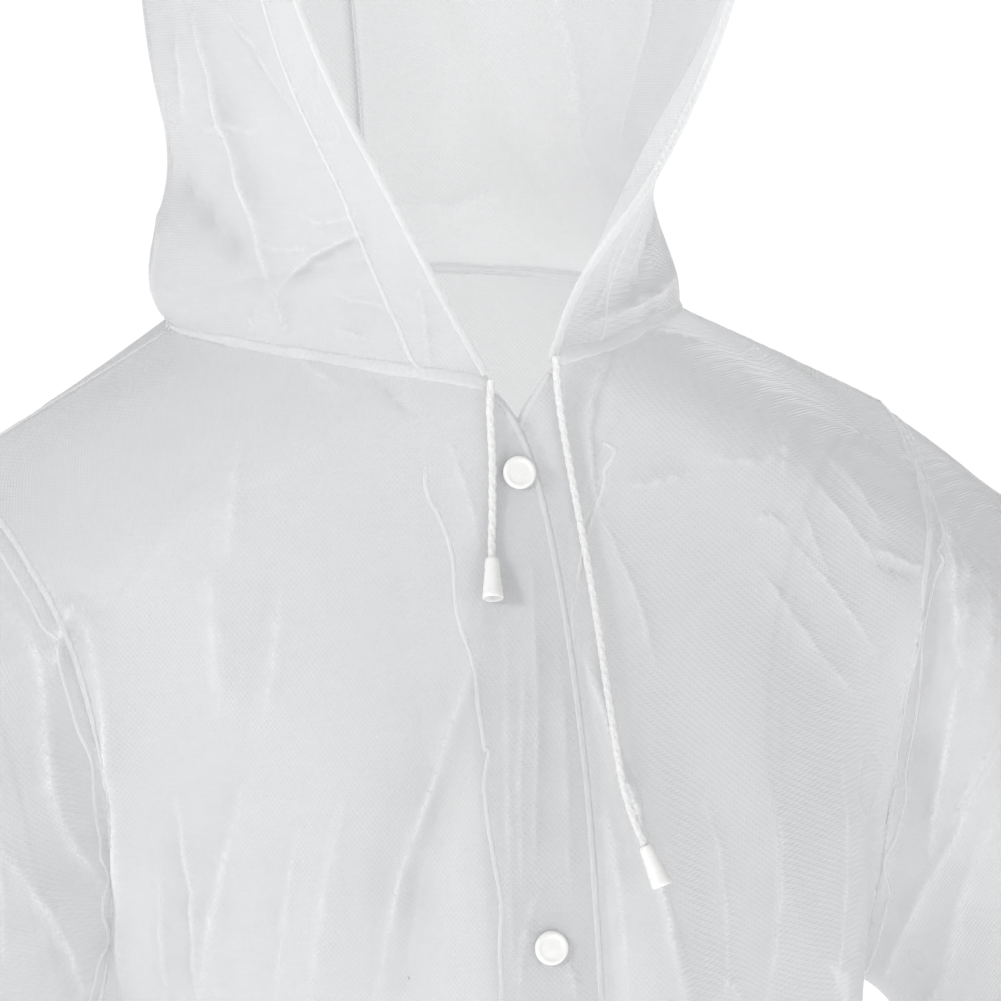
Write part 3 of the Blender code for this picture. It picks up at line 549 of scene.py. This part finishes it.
def ribbon(name, run, half_width, names, height=0.45 * MM, material=None, across_points=4):
    """A raised strip along a run, on the sheets that it joins."""
    mesh = bmesh.new()
    bmesh.ops.create_grid(mesh, x_segments=len(run) - 1, y_segments=across_points, size=1)
    normals = [on_skin(place, names)[1] for place in run]
    for _ in range(6):
        normals = [
            (normals[max(i - 1, 0)] + normals[i] * 2 + normals[min(i + 1, len(run) - 1)]).normalized()
            for i in range(len(run))
        ]
    for vertex in mesh.verts:
        i = round((vertex.co.x + 1) / 2 * (len(run) - 1))
        side = vertex.co.y
        along = (run[min(i + 1, len(run) - 1)] - run[max(i - 1, 0)]).normalized()
        across = along.cross(normals[i]).normalized()
        uneven = 1 + 0.18 * noise.noise(run[i] * 120)
        place, normal = on_skin(run[i] + across * side * half_width * uneven, names)
        rise = height * (1 - abs(side) ** 3) * (1 + 0.5 * noise.noise(place * 260)) + 0.15 * MM
        vertex.co = place + normals[i] * rise
    mesh.normal_update()
    if sum(f.normal.dot(on_skin(f.calc_center_median(), names)[1]) for f in mesh.faces) < 0:
        bmesh.ops.reverse_faces(mesh, faces=mesh.faces)
    return film_object(name, mesh, material or weld_film, thickness=0.25 * MM)


def tube(path, sides, radius):
    """A closed tube along a path. radius gives it for an angle and a length along."""
    mesh = bmesh.new()
    bmesh.ops.create_grid(mesh, x_segments=sides, y_segments=len(path) - 1, size=1)
    run = [0.0]
    for a, b in zip(path, path[1:]):
        run.append(run[-1] + (b - a).length)
    frames, across = [], None
    for i in range(len(path)):
        along = (path[min(i + 1, len(path) - 1)] - path[max(i - 1, 0)]).normalized()
        if across is None:
            across = along.cross(Vector((0, 1, 0))).normalized()
        across = (across - along * across.dot(along)).normalized()
        frames.append((across.copy(), along.cross(across)))
    rings = {}
    for vertex in mesh.verts:
        turn = round((vertex.co.x + 1) / 2 * sides) % sides
        row = round((vertex.co.y + 1) / 2 * (len(path) - 1))
        angle = 2 * math.pi * turn / sides
        out = frames[row][0] * math.cos(angle) + frames[row][1] * math.sin(angle)
        vertex.co = path[row] + out * radius(angle, run[row])
        rings.setdefault(row, []).append(vertex)
    bmesh.ops.remove_doubles(mesh, verts=mesh.verts, dist=0.001 * MM)
    bmesh.ops.holes_fill(mesh, edges=[e for e in mesh.edges if e.is_boundary], sides=0)
    bmesh.ops.recalc_face_normals(mesh, faces=mesh.faces)
    return mesh


def plain_object(name, mesh, material, smooth=True):
    data = bpy.data.meshes.new(name)
    mesh.to_mesh(data)
    mesh.free()
    if smooth:
        data.shade_smooth()
        data.set_sharp_from_angle(angle=math.radians(50))
    obj = bpy.data.objects.new(name, data)
    bpy.context.scene.collection.objects.link(obj)
    data.materials.append(material)
    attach(obj, "root")
    return obj


def turned(profile, sides, place, way):
    """A profile of (radius, height) turned about way, from its base at place."""
    mesh = bmesh.new()
    points = [mesh.verts.new((radius * MM, 0, height * MM)) for radius, height in profile]
    for a, b in zip(points, points[1:]):
        mesh.edges.new((a, b))
    bmesh.ops.spin(
        mesh, geom=mesh.verts[:] + mesh.edges[:], cent=(0, 0, 0), axis=(0, 0, 1),
        angle=2 * math.pi, steps=sides, use_merge=True,
    )
    bmesh.ops.remove_doubles(mesh, verts=mesh.verts, dist=0.002 * MM)
    bmesh.ops.recalc_face_normals(mesh, faces=mesh.faces)
    turn = Vector((0, 0, 1)).rotation_difference(way).to_matrix().to_4x4()
    bmesh.ops.transform(mesh, matrix=Matrix.Translation(place) @ turn, verts=mesh.verts)
    return mesh


# ---------------------------------------------------------------- creases of the sides that the photograph hides

SLEEVE_LINE = [(211, -51, 176, -310), (260, -92, 198, -322), (316, -195, 220, -364), (358, -385, 248, -478),
               (394, -632, 299, -664)]


def body_ray(bearing, height):
    turn = math.radians(bearing)
    return Vector((0, -10, height)) * MM, Vector((math.sin(turn), -math.cos(turn), 0))


def hood_ray(bearing, height):
    turn = math.radians(bearing)
    return Vector((0, 6, height)) * MM, Vector((math.sin(turn), -math.cos(turn), 0.1)).normalized()


def sleeve_ray(around, share, side):
    place = share * (len(SLEEVE_LINE) - 1)
    k = min(int(place), len(SLEEVE_LINE) - 2)
    columns = np.array(SLEEVE_LINE[k]) + (place - k) * (np.array(SLEEVE_LINE[k + 1]) - np.array(SLEEVE_LINE[k]))
    top, under = Vector((columns[0], 0, columns[1])), Vector((columns[2], 0, columns[3]))
    turn = math.radians(around)
    way = (top - under).normalized() * math.cos(turn) + Vector((0, -1, 0)) * math.sin(turn)
    middle = (top + under) / 2 + Vector((0, -20 * share, 0))
    return Vector((side * middle.x, middle.y, middle.z)) * MM, Vector((side * way.x, way.y, way.z))


def laid_out(creases, ray, names, *more):
    """The same creases, with each point where its ray meets one of these solids."""
    placed = []
    for crease in creases:
        points = []
        for first, second in crease["points"]:
            start, way = ray(first, second, *more)
            hits = [solid_trees[name].ray_cast(start, way) for name in names]
            hits = [hit[0] for hit in hits if hit[0] is not None]
            if hits:
                points.append(max(hits, key=lambda hit: (hit - start).length) / MM)
        if len(points) > 1:
            placed.append(dict(crease, points=[tuple(p) for p in points]))
    return placed


# ---------------------------------------------------------------- finishes

def group_nodes(name, inputs, outputs):
    """A shader node group with its sockets, its input node and its output node."""
    group = bpy.data.node_groups.new(name, "ShaderNodeTree")
    for label, kind, value in inputs:
        socket = group.interface.new_socket(label, in_out="INPUT", socket_type="NodeSocket" + kind)
        if value is not None:
            socket.default_value = value
    for label, kind in outputs:
        group.interface.new_socket(label, in_out="OUTPUT", socket_type="NodeSocket" + kind)
    return group, group.nodes.new("NodeGroupInput"), group.nodes.new("NodeGroupOutput")


def add(tree, kind, links=(), **settings):
    """A node, with its settings, its sockets' values, and what feeds them."""
    node = tree.nodes.new("ShaderNode" + kind)
    for key, value in settings.items():
        setattr(node, key, value)
    for socket, source in dict(links).items():
        if isinstance(source, bpy.types.NodeSocket):
            tree.links.new(source, node.inputs[socket])
        else:
            node.inputs[socket].default_value = source
    return node


def film_grain_group():
    """The rolled grain of film: fine crossing lines and cloudy thickness, in object space."""
    group, start, end = group_nodes(
        "film_grain",
        [("Lines", "Float", 900.0), ("Line Depth", "Float", 0.5), ("Clouds", "Float", 22.0)],
        [("Height", "Float"), ("Roughness", "Float"), ("Milk", "Float")],
    )
    place = add(group, "TexCoord").outputs["Object"]
    apart = add(group, "SeparateXYZ", {0: place})
    x, y, z = apart.outputs
    around = add(group, "Math", {0: x, 1: y}, operation="SUBTRACT").outputs[0]
    heights = []
    for sign in ("ADD", "SUBTRACT"):
        slant = add(group, "Math", {0: z, 1: around}, operation=sign).outputs[0]
        phase = add(group, "Math", {0: slant, 1: start.outputs["Lines"]}, operation="MULTIPLY").outputs[0]
        wave = add(group, "Math", {0: phase}, operation="SINE").outputs[0]
        heights.append(wave)
    lines = add(group, "Math", {0: heights[0], 1: heights[1]}, operation="MAXIMUM").outputs[0]
    lines = add(group, "Math", {0: lines, 1: start.outputs["Line Depth"]}, operation="MULTIPLY").outputs[0]
    clouds = add(
        group, "TexNoise", {"Vector": place, "Scale": start.outputs["Clouds"], "Detail": 1.0, "Roughness": 0.6}
    ).outputs["Fac"]
    height = add(group, "Math", {0: clouds, 1: 2.0, 2: lines}, operation="MULTIPLY_ADD").outputs[0]
    group.links.new(height, end.inputs["Height"])
    rough = add(
        group, "MapRange", {"Value": clouds, "From Min": 0.3, "From Max": 0.7, "To Min": 0.27, "To Max": 0.42}
    ).outputs[0]
    group.links.new(rough, end.inputs["Roughness"])
    milk = add(
        group, "MapRange", {"Value": clouds, "From Min": 0.3, "From Max": 0.75, "To Min": 0.0, "To Max": 1.0}
    ).outputs[0]
    group.links.new(milk, end.inputs["Milk"])
    return group


def film_material(name, grain, clear, dense, tint, lines, bump, translucent=0.28, dim=0.7, clearness=0.87, painted_crease_shade=0.18):
    """Milky film: partly clear face on, and denser where it is seen edge on."""
    made = bpy.data.materials.new(name)
    made.use_nodes = True
    tree = made.node_tree
    shader = tree.nodes["Principled BSDF"]
    detail = tree.nodes.new("ShaderNodeGroup")
    detail.node_tree = grain
    detail.inputs["Lines"].default_value = lines
    raised = add(tree, "Bump", {"Height": detail.outputs["Height"], "Strength": bump, "Distance": 0.3 * MM})
    tone = add(
        tree, "Mix", {0: detail.outputs["Milk"], 6: tint, 7: tuple(min(1, c * 1.03) for c in tint[:3]) + (1,)},
        data_type="RGBA",
    ).outputs[2]
    # Painted crease light and shade: crests get a lighter, denser film, partly stress whitening and partly a painted
    # highlight; hollows get a darker, clearer film as painted shade.
    fold_milk_and_painted_shade = add(tree, "Attribute", attribute_name="fold_milk_and_painted_shade").outputs["Fac"]
    painted_crease_tone = add(
        tree, "MapRange", {"Value": fold_milk_and_painted_shade, "From Min": -1.0, "From Max": 1.0, "To Min": 1 - painted_crease_shade, "To Max": 1 + painted_crease_shade}
    ).outputs[0]
    tone = add(tree, "VectorMath", {0: tone, "Scale": painted_crease_tone}, operation="SCALE").outputs[0]
    tree.links.new(tone, shader.inputs["Base Color"])
    tree.links.new(detail.outputs["Roughness"], shader.inputs["Roughness"])
    tree.links.new(raised.outputs["Normal"], shader.inputs["Normal"])
    shader.inputs["IOR"].default_value = 1.49
    through = add(tree, "BsdfTranslucent", {"Color": tone, "Normal": raised.outputs["Normal"]})
    clearly = add(tree, "BsdfTransparent", {"Color": (clearness, clearness, clearness, 1)})
    body = add(tree, "MixShader", {0: translucent, 1: shader.outputs[0], 2: through.outputs[0]})
    edge_on = add(tree, "LayerWeight", {"Blend": 0.4}).outputs["Facing"]
    solid = add(
        tree, "MapRange", {"Value": edge_on, "From Min": 0.0, "From Max": 0.9, "To Min": clear, "To Max": dense}
    ).outputs[0]
    crest = add(tree, "Math", {0: fold_milk_and_painted_shade, 1: 0.3}, operation="MULTIPLY").outputs[0]
    solid = add(tree, "Math", {0: solid, 1: crest}, operation="ADD", use_clamp=True).outputs[0]
    mixed = add(tree, "MixShader", {0: solid, 1: clearly.outputs[0], 2: body.outputs[0]})
    # Light that reaches the camera only after a bounce meets a plain film, with no grain worked out.
    rays = add(tree, "LightPath")
    plain = add(tree, "BsdfDiffuse", {"Color": tint})
    plain_through = add(tree, "BsdfTranslucent", {"Color": tint})
    scattered = add(tree, "MixShader", {0: 0.5, 1: plain.outputs[0], 2: plain_through.outputs[0]})
    passed = add(tree, "BsdfTransparent", {"Color": (clearness, clearness, clearness, 1)})
    bounced = add(tree, "MixShader", {0: clear, 1: passed.outputs[0], 2: scattered.outputs[0]})
    dimmed = add(tree, "BsdfTransparent", {"Color": (dim, dim, dim, 1)})
    indirect = add(tree, "MixShader", {0: rays.outputs["Is Shadow Ray"], 1: bounced.outputs[0], 2: dimmed.outputs[0]})
    whole = add(tree, "MixShader", {0: rays.outputs["Is Camera Ray"], 1: indirect.outputs[0], 2: mixed.outputs[0]})
    # The far side of each thin wall adds nothing: one layer of film is met once.
    far_side = add(tree, "NewGeometry").outputs["Backfacing"]
    nothing = add(tree, "BsdfTransparent", {"Color": (1, 1, 1, 1)})
    layer = add(tree, "MixShader", {0: far_side, 1: whole.outputs[0], 2: nothing.outputs[0]})
    tree.links.new(layer.outputs[0], tree.nodes["Material Output"].inputs["Surface"])
    return made


def plastic_material(name, colour, roughness, coat):
    """Moulded white plastic with a faint skin."""
    made = bpy.data.materials.new(name)
    made.use_nodes = True
    tree = made.node_tree
    shader = tree.nodes["Principled BSDF"]
    place = add(tree, "TexCoord").outputs["Object"]
    skin = add(tree, "TexNoise", {"Vector": place, "Scale": 900.0, "Detail": 2.0}).outputs["Fac"]
    wear = add(tree, "TexNoise", {"Vector": place, "Scale": 160.0, "Detail": 3.0}).outputs["Fac"]
    bump = add(tree, "Bump", {"Height": skin, "Strength": 0.15, "Distance": 0.05 * MM})
    rough = add(
        tree, "MapRange", {"Value": wear, "From Min": 0.3, "From Max": 0.7, "To Min": roughness, "To Max": roughness + 0.12}
    ).outputs[0]
    shade = add(
        tree, "Mix", {0: wear, 6: colour, 7: tuple(c * 0.96 for c in colour[:3]) + (1,)}, data_type="RGBA"
    ).outputs[2]
    tree.links.new(shade, shader.inputs["Base Color"])
    tree.links.new(rough, shader.inputs["Roughness"])
    tree.links.new(bump.outputs["Normal"], shader.inputs["Normal"])
    shader.inputs["Coat Weight"].default_value = coat
    shader.inputs["Subsurface Weight"].default_value = 0.0
    return made


def braid_material(name):
    """White braided cord: soft fibres, and painted shade that darkens the gaps."""
    made = bpy.data.materials.new(name)
    made.use_nodes = True
    tree = made.node_tree
    shader = tree.nodes["Principled BSDF"]
    place = add(tree, "TexCoord").outputs["Object"]
    fibre = add(tree, "TexNoise", {"Vector": place, "Scale": 2200.0, "Detail": 2.0}).outputs["Fac"]
    # Painted shade: the colour darkens from each cell's middle out to the gaps between the cells.
    gap = add(tree, "TexVoronoi", {"Vector": place, "Scale": 1100.0}).outputs["Distance"]
    shade = add(
        tree, "MapRange", {"Value": gap, "From Min": 0.0, "From Max": 0.7, "To Min": 1.0, "To Max": 0.0}
    ).outputs[0]
    colour = add(
        tree, "Mix", {0: shade, 6: (0.78, 0.78, 0.78, 1), 7: (0.93, 0.93, 0.925, 1)}, data_type="RGBA"
    ).outputs[2]
    bump = add(tree, "Bump", {"Height": fibre, "Strength": 0.4, "Distance": 0.1 * MM})
    tree.links.new(colour, shader.inputs["Base Color"])
    tree.links.new(bump.outputs["Normal"], shader.inputs["Normal"])
    shader.inputs["Roughness"].default_value = 0.6
    shader.inputs["Sheen Weight"].default_value = 0.2
    return made


# ---------------------------------------------------------------- camera, floor and light

def set_camera():
    """The photographed view: from the front, 16 degrees to the wearer's right, 4 degrees up, a little rolled."""
    turn, rise, roll, reach = math.radians(-16), math.radians(4), math.radians(2.2), 1.6
    place = Vector((math.sin(turn) * math.cos(rise), -math.cos(turn) * math.cos(rise), math.sin(rise))) * reach
    ahead = -place.normalized()
    right = ahead.cross(Vector((0, 0, 1))).normalized()
    up = right.cross(ahead)
    right, up = right * math.cos(roll) - up * math.sin(roll), up * math.cos(roll) + right * math.sin(roll)
    data = bpy.data.cameras.new("camera")
    data.lens, data.sensor_width = 133.07, 36
    data.shift_x, data.shift_y = 0.0584, -0.1823
    data.clip_start = 0.05
    camera = bpy.data.objects.new("camera", data)
    turned_to = Matrix((right, up, -ahead)).transposed().to_4x4()
    camera.matrix_world = Matrix.Translation(place) @ turned_to
    bpy.context.scene.collection.objects.link(camera)
    bpy.context.scene.camera = camera


def set_light():
    """White surroundings, and large soft lights on the front's left, above and behind."""
    scene = bpy.context.scene
    scene.view_settings.view_transform = "Standard"
    scene.cycles.transparent_max_bounces = 48
    scene.cycles.max_bounces = 2
    world = bpy.data.worlds.new("studio")
    scene.world = world
    world.use_nodes = True
    tree = world.node_tree
    surround = tree.nodes["Background"]
    surround.inputs["Color"].default_value = (1, 1, 1, 1)
    surround.inputs["Strength"].default_value = 0.26
    seen = add(tree, "Background", {"Color": (1, 1, 1, 1), "Strength": 1.02})
    path = add(tree, "LightPath")
    both = add(tree, "MixShader", {0: path.outputs["Is Camera Ray"], 1: surround.outputs[0], 2: seen.outputs[0]})
    tree.links.new(both.outputs[0], tree.nodes["World Output"].inputs["Surface"])
    for name, place, aim, size, power in (
        ("key", (-2.6, -1.3, 1.0), (0, 0, -0.1), 0.6, 40),
        ("fill", (2.2, -2.6, 0.5), (0, 0, -0.2), 1.8, 15),
        ("top", (-0.2, -0.9, 2.4), (0, 0, -0.1), 1.2, 10),
        ("rim", (1.6, 2.2, 1.2), (0, 0, -0.3), 1.4, 10),
    ):
        data = bpy.data.lights.new(name, "AREA")
        data.shape, data.size, data.energy = "DISK", size, power
        light = bpy.data.objects.new(name, data)
        light.location = place
        light.rotation_euler = (Vector(aim) - Vector(place)).to_track_quat("-Z", "Y").to_euler()
        scene.collection.objects.link(light)


def lay_floor():
    mesh = bmesh.new()
    bmesh.ops.create_grid(mesh, x_segments=1, y_segments=1, size=30)
    bmesh.ops.translate(mesh, vec=(0, 0, -1.16), verts=mesh.verts)
    data = bpy.data.meshes.new("floor")
    mesh.to_mesh(data)
    mesh.free()
    obj = bpy.data.objects.new("floor", data)
    bpy.context.scene.collection.objects.link(obj)
    made = bpy.data.materials.new("pale_floor")
    made.use_nodes = True
    tree = made.node_tree
    shader = tree.nodes["Principled BSDF"]
    shader.inputs["Base Color"].default_value = (0.93, 0.93, 0.93, 1)
    shader.inputs["Roughness"].default_value = 0.9
    shader.inputs["Emission Color"].default_value = (1, 1, 1, 1)
    shader.inputs["Emission Strength"].default_value = 0.8
    data.materials.append(made)


# ---------------------------------------------------------------- drawcord ends

CORDS = {
    "cord_right": """
-15 -120.5 -17    -16 -120.6 -27      -16.2 -121.5 -38   -16.6 -123 -50
-17.7 -125.3 -61  -18.9 -127.6 -73    -20.2 -130 -81     -21.2 -132.9 -87
""",
    "cord_left": """
12.5 -120.4 -9    12.8 -120 -19       14.8 -119.8 -39    16.7 -123.3 -59.5
18.5 -129.3 -83   19 -136.9 -102.5    19.2 -144.2 -122   19.1 -151.3 -141
19.5 -157.7 -160  20.4 -162.3 -175.5  22.4 -166.7 -188.5 25.7 -171.2 -200
""",
}
BELL = [(0.0, 0.2), (1.7, 0.2), (2.3, 0.0), (2.75, 0.5), (2.95, 1.6), (3.1, 3.4), (3.15, 5.2), (3.35, 7.6),
        (3.65, 10.2), (3.95, 12.8), (4.25, 15.2), (4.3, 16.2), (4.15, 16.8), (3.7, 17.0), (3.3, 16.6),
        (3.0, 14.5), (2.4, 12.6), (0.0, 12.4)]


def smooth_path(points, step):
    """A smooth curve through points, as points of even spacing. Its slopes are averaged at each point."""
    points = np.array(points)
    knots = np.concatenate([[0], np.cumsum(np.linalg.norm(np.diff(points, axis=0), axis=1))])
    gaps = np.diff(knots)
    slope = np.diff(points, axis=0) / gaps[:, None]
    tangent = np.vstack([slope[:1], slope[-1:]]).repeat([1, len(points) - 1], axis=0)
    before, after = gaps[:-1, None], gaps[1:, None]
    tangent[1:-1] = (after * slope[:-1] + before * slope[1:]) / (before + after)
    at = np.linspace(0, knots[-1], 40 * len(points))
    span = np.clip(np.searchsorted(knots, at, side="right") - 1, 0, len(gaps) - 1)
    width = gaps[span][:, None]
    t = ((at - knots[span]) / gaps[span])[:, None]
    curve = (
        (1 + 2 * t) * (1 - t) ** 2 * points[span] + t * (1 - t) ** 2 * width * tangent[span]
        + t * t * (3 - 2 * t) * points[span + 1] + t * t * (t - 1) * width * tangent[span + 1]
    )
    return evened([Vector(p) for p in curve], step, soften=0)


def braided(angle, along):
    """The radius of a braid: two sets of strands that cross."""
    turns, pitch = 3, 2 * math.pi / (5.2 * MM)
    one = math.sin(turns * angle + pitch * along)
    other = math.sin(turns * angle - pitch * along)
    return CORD_DIAMETER / 2 - 0.16 * MM + 0.22 * MM * max(one, other)


def make_cord(name, text):
    numbers = [float(word) for word in text.split()]
    knots = np.array(numbers).reshape(-1, 3) * MM
    path = smooth_path(knots, 0.42 * MM)
    cord = plain_object(name + "_braid", tube(path, 24, braided), braid)
    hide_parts(name)
    way = (path[-1] - path[-4]).normalized()
    end_name = name.replace("cord", "cord_end")
    bell = plain_object(end_name + "_bell", turned(BELL, 48, path[-1] + way * 0.3 * MM, way), gloss)
    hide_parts(end_name)


# ---------------------------------------------------------------- the coat

set_camera()
set_light()
lay_floor()

grain = film_grain_group()
film = film_material("frosted_film", grain, 0.66, 0.92, (0.80, 0.804, 0.816, 1), 2600.0, 0.6)
lining_film = film_material("turned_in_film", grain, 0.40, 0.80, (0.93, 0.934, 0.945, 1), 2600.0, 0.6, 0.5, 0.92, 0.97)
weld_film = film_material("welded_film", grain, 0.62, 0.92, (0.95, 0.955, 0.96, 1), 1500.0, 0.6, 0.3)
gloss = plastic_material("white_snap_plastic", (0.95, 0.95, 0.94, 1), 0.22, 0.3)
braid = braid_material("white_braid")

for cord_name, cord_text in CORDS.items():
    make_cord(cord_name, cord_text)

skins = {name: smoothed(outer_skin(name), name, 2) for name in PANELS + LININGS + ("neck_band",)}
solid_trees = {name: BVHTree.FromBMesh(skin) for name, skin in skins.items()}
creases = (
    CREASES
    + laid_out(BODY_CREASES, body_ray, ("front_right", "front_left", "back"))
    + laid_out(SLEEVE_CREASES, sleeve_ray, ("sleeve_left",), 1)
    + laid_out(SLEEVE_CREASES, sleeve_ray, ("sleeve_right",), -1)
    + laid_out(HOOD_CREASES, hood_ray, ("hood_left", "hood_right"))
)
trees = {}
for name, skin in skins.items():
    near_step, far_step, rounds = (0.85, 4.2, 5) if name in PANELS else (2.0, 5.0, 3)
    others = [solid_trees[other] for other in PANELS if other != name and name in PANELS]
    refine(skin, creases, near_step, far_step, rounds)
    creased(skin, creases, 1.0 if name in PANELS else 0.6, others)
    trees[name] = BVHTree.FromBMesh(skin)

FLAT = {    # cut size, area, and what it hangs from
    "front_right": (0.41, 1.22, 0.327, ["back"]),
    "front_left": (0.445, 1.23, 0.359, ["back"]),
    "back": (0.72, 1.21, 0.577, []),
    "sleeve_right": (0.70, 0.63, 0.251, ["back"]),
    "sleeve_left": (0.70, 0.63, 0.251, ["back"]),
    "hood_right": (0.352, 0.405, 0.1136, ["back"]),
    "hood_left": (0.352, 0.405, 0.1118, ["back"]),
    "casing_right": (0.025, 0.40, 0.0091, ["hood_right"]),
    "casing_left": (0.025, 0.40, 0.0091, ["hood_left"]),
    "facing_right": (0.045, 1.02, 0.0450, ["front_right"]),
    "facing_left": (0.045, 1.02, 0.0452, ["front_left"]),
}
for name, skin in skins.items():
    film_object(name + "_film", skin, film if name in PANELS else lining_film)
    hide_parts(name)


# ---------------------------------------------------------------- welds, rolled rim, snaps

def add_welds():
    """Raised weld strips on the sheets. Returns the strips that go with each sheet."""
    made = {name: [] for name in FLAT}
    for side in ("right", "left"):
        hood, sleeve, front = "hood_" + side, "sleeve_" + side, "front_" + side
        neck = seam_between(hood, front)
        neck_back = seam_between(hood, "back")
        made[hood] += [
            ribbon("neck_weld_" + side, neck, 3.0 * MM, [hood, front], 0.8 * MM),
            ribbon("neck_weld_back_" + side, neck_back, 3.0 * MM, [hood, "back"], 0.8 * MM),
        ]
        for place, body in (("", front), ("back_", "back")):
            armhole = seam_between(sleeve, body)
            made[sleeve].append(
                ribbon(f"armhole_weld_{place}{side}", armhole, 1.5 * MM, [sleeve, body], 0.8 * MM)
            )
            second = moved_in(armhole, sleeve, 7 * MM, 0.8 * MM)
            made[sleeve].append(ribbon(f"armhole_line_{place}{side}", second, 0.8 * MM, [sleeve], 0.4 * MM))
        shoulder = open_runs(
            skins[front], lambda p: gap_to(p, "back") < SEAM_REACH and p.z > -0.2
        )[0]
        made["back"].append(ribbon("shoulder_weld_" + side, evened(shoulder, 3 * MM), 1.8 * MM, [front, "back"], 0.6 * MM))
        side_seam = open_runs(skins[front], lambda p: gap_to(p, "back") < SEAM_REACH and p.z < -0.25)[0]
        made["back"].append(ribbon("side_weld_" + side, evened(side_seam, 4 * MM), 1.8 * MM, [front, "back"], 0.6 * MM))
        cuff = free_edge(sleeve, ["back", "front_right", "front_left"])
        made[sleeve].append(ribbon("cuff_weld_" + side, moved_in(cuff, sleeve, 22 * MM), 1.0 * MM, [sleeve], 0.4 * MM))
        rim = free_edge(hood, ["back", "front_right", "front_left", "hood_left" if side == "right" else "hood_right"])
        made[hood].append(
            ribbon("casing_weld_" + side, moved_in(rim, hood, 24 * MM, 1.0 * MM), 1.0 * MM, [hood], 0.35 * MM)
        )
        made[hood].append(rolled_rim("rim_roll_" + side, rim))
        edge = open_runs(
            skins[front],
            lambda p: gap_to(p, "back", hood, "sleeve_right", "sleeve_left") > SEAM_REACH and p.z > -1.02,
        )[0]
        edge = evened(edge, 3.5 * MM)
        made[front].append(
            ribbon("placket_weld_" + side, moved_in(edge, front, 43 * MM, 5 * MM), 0.9 * MM, [front], 0.35 * MM)
        )
        made[front].append(ribbon("front_edge_" + side, moved_in(edge, front, 1.6 * MM), 1.1 * MM, [front], 0.35 * MM))
    crown = seam_between("hood_left", "hood_right")
    made["hood_left"].append(ribbon("hood_weld", crown, 1.8 * MM, ["hood_left", "hood_right"], 0.6 * MM))
    return made


def rolled_rim(name, run):
    """The narrow roll of film round the drawcord, along the hood's rim."""
    path = [p + (on_skin(p, PANELS)[1]) * -0.6 * MM for p in evened(run, 2.5 * MM)]
    uneven = lambda angle, along: (1.75 + 0.22 * noise.noise(Vector((along * 90, 0, 2)))) * MM
    return plain_object(name, tube(path, 14, uneven), weld_film)


def add_snaps():
    """Caps with a rolled rim and a dished middle, and the studs behind them."""
    for number in range(1, 6):
        for kind, profile in (("cap", CAP), ("stud", STUD)):
            name = f"snap_{kind}_{number}"
            low, high = (Vector(corner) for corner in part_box(name))
            middle = (low + high) / 2
            panel = "front_right" if kind == "cap" else "facing_left"
            spot, normal = on_skin(middle, [panel])
            around = [on_skin(spot + Vector((a, 0, b)) * 5 * MM, [panel])[1] for a in (-1, 0, 1) for b in (-1, 0, 1)]
            way = sum(around, Vector()).normalized()
            if kind == "stud":
                way, spot = -way, middle + way * 0.85 * MM
            else:
                spot = spot + way * 0.15 * MM
            snap = plain_object(name + "_moulded", turned(profile, 64, spot, way), gloss)
            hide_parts(name)


CAP = [(0, 0), (6.3, 0), (6.75, 0.35), (6.8, 0.9), (6.6, 1.5), (6.1, 1.95), (5.5, 2.1), (4.9, 1.98), (4.55, 1.75),
       (3.6, 1.72), (1.6, 1.86), (0, 1.9)]
STUD = [(0, 0), (4.9, 0), (5.0, 0.5), (4.6, 0.95), (3.2, 1.05), (2.9, 1.7), (1.7, 1.75), (1.5, 1.0), (0, 1.0)]

welds = add_welds()
add_snaps()
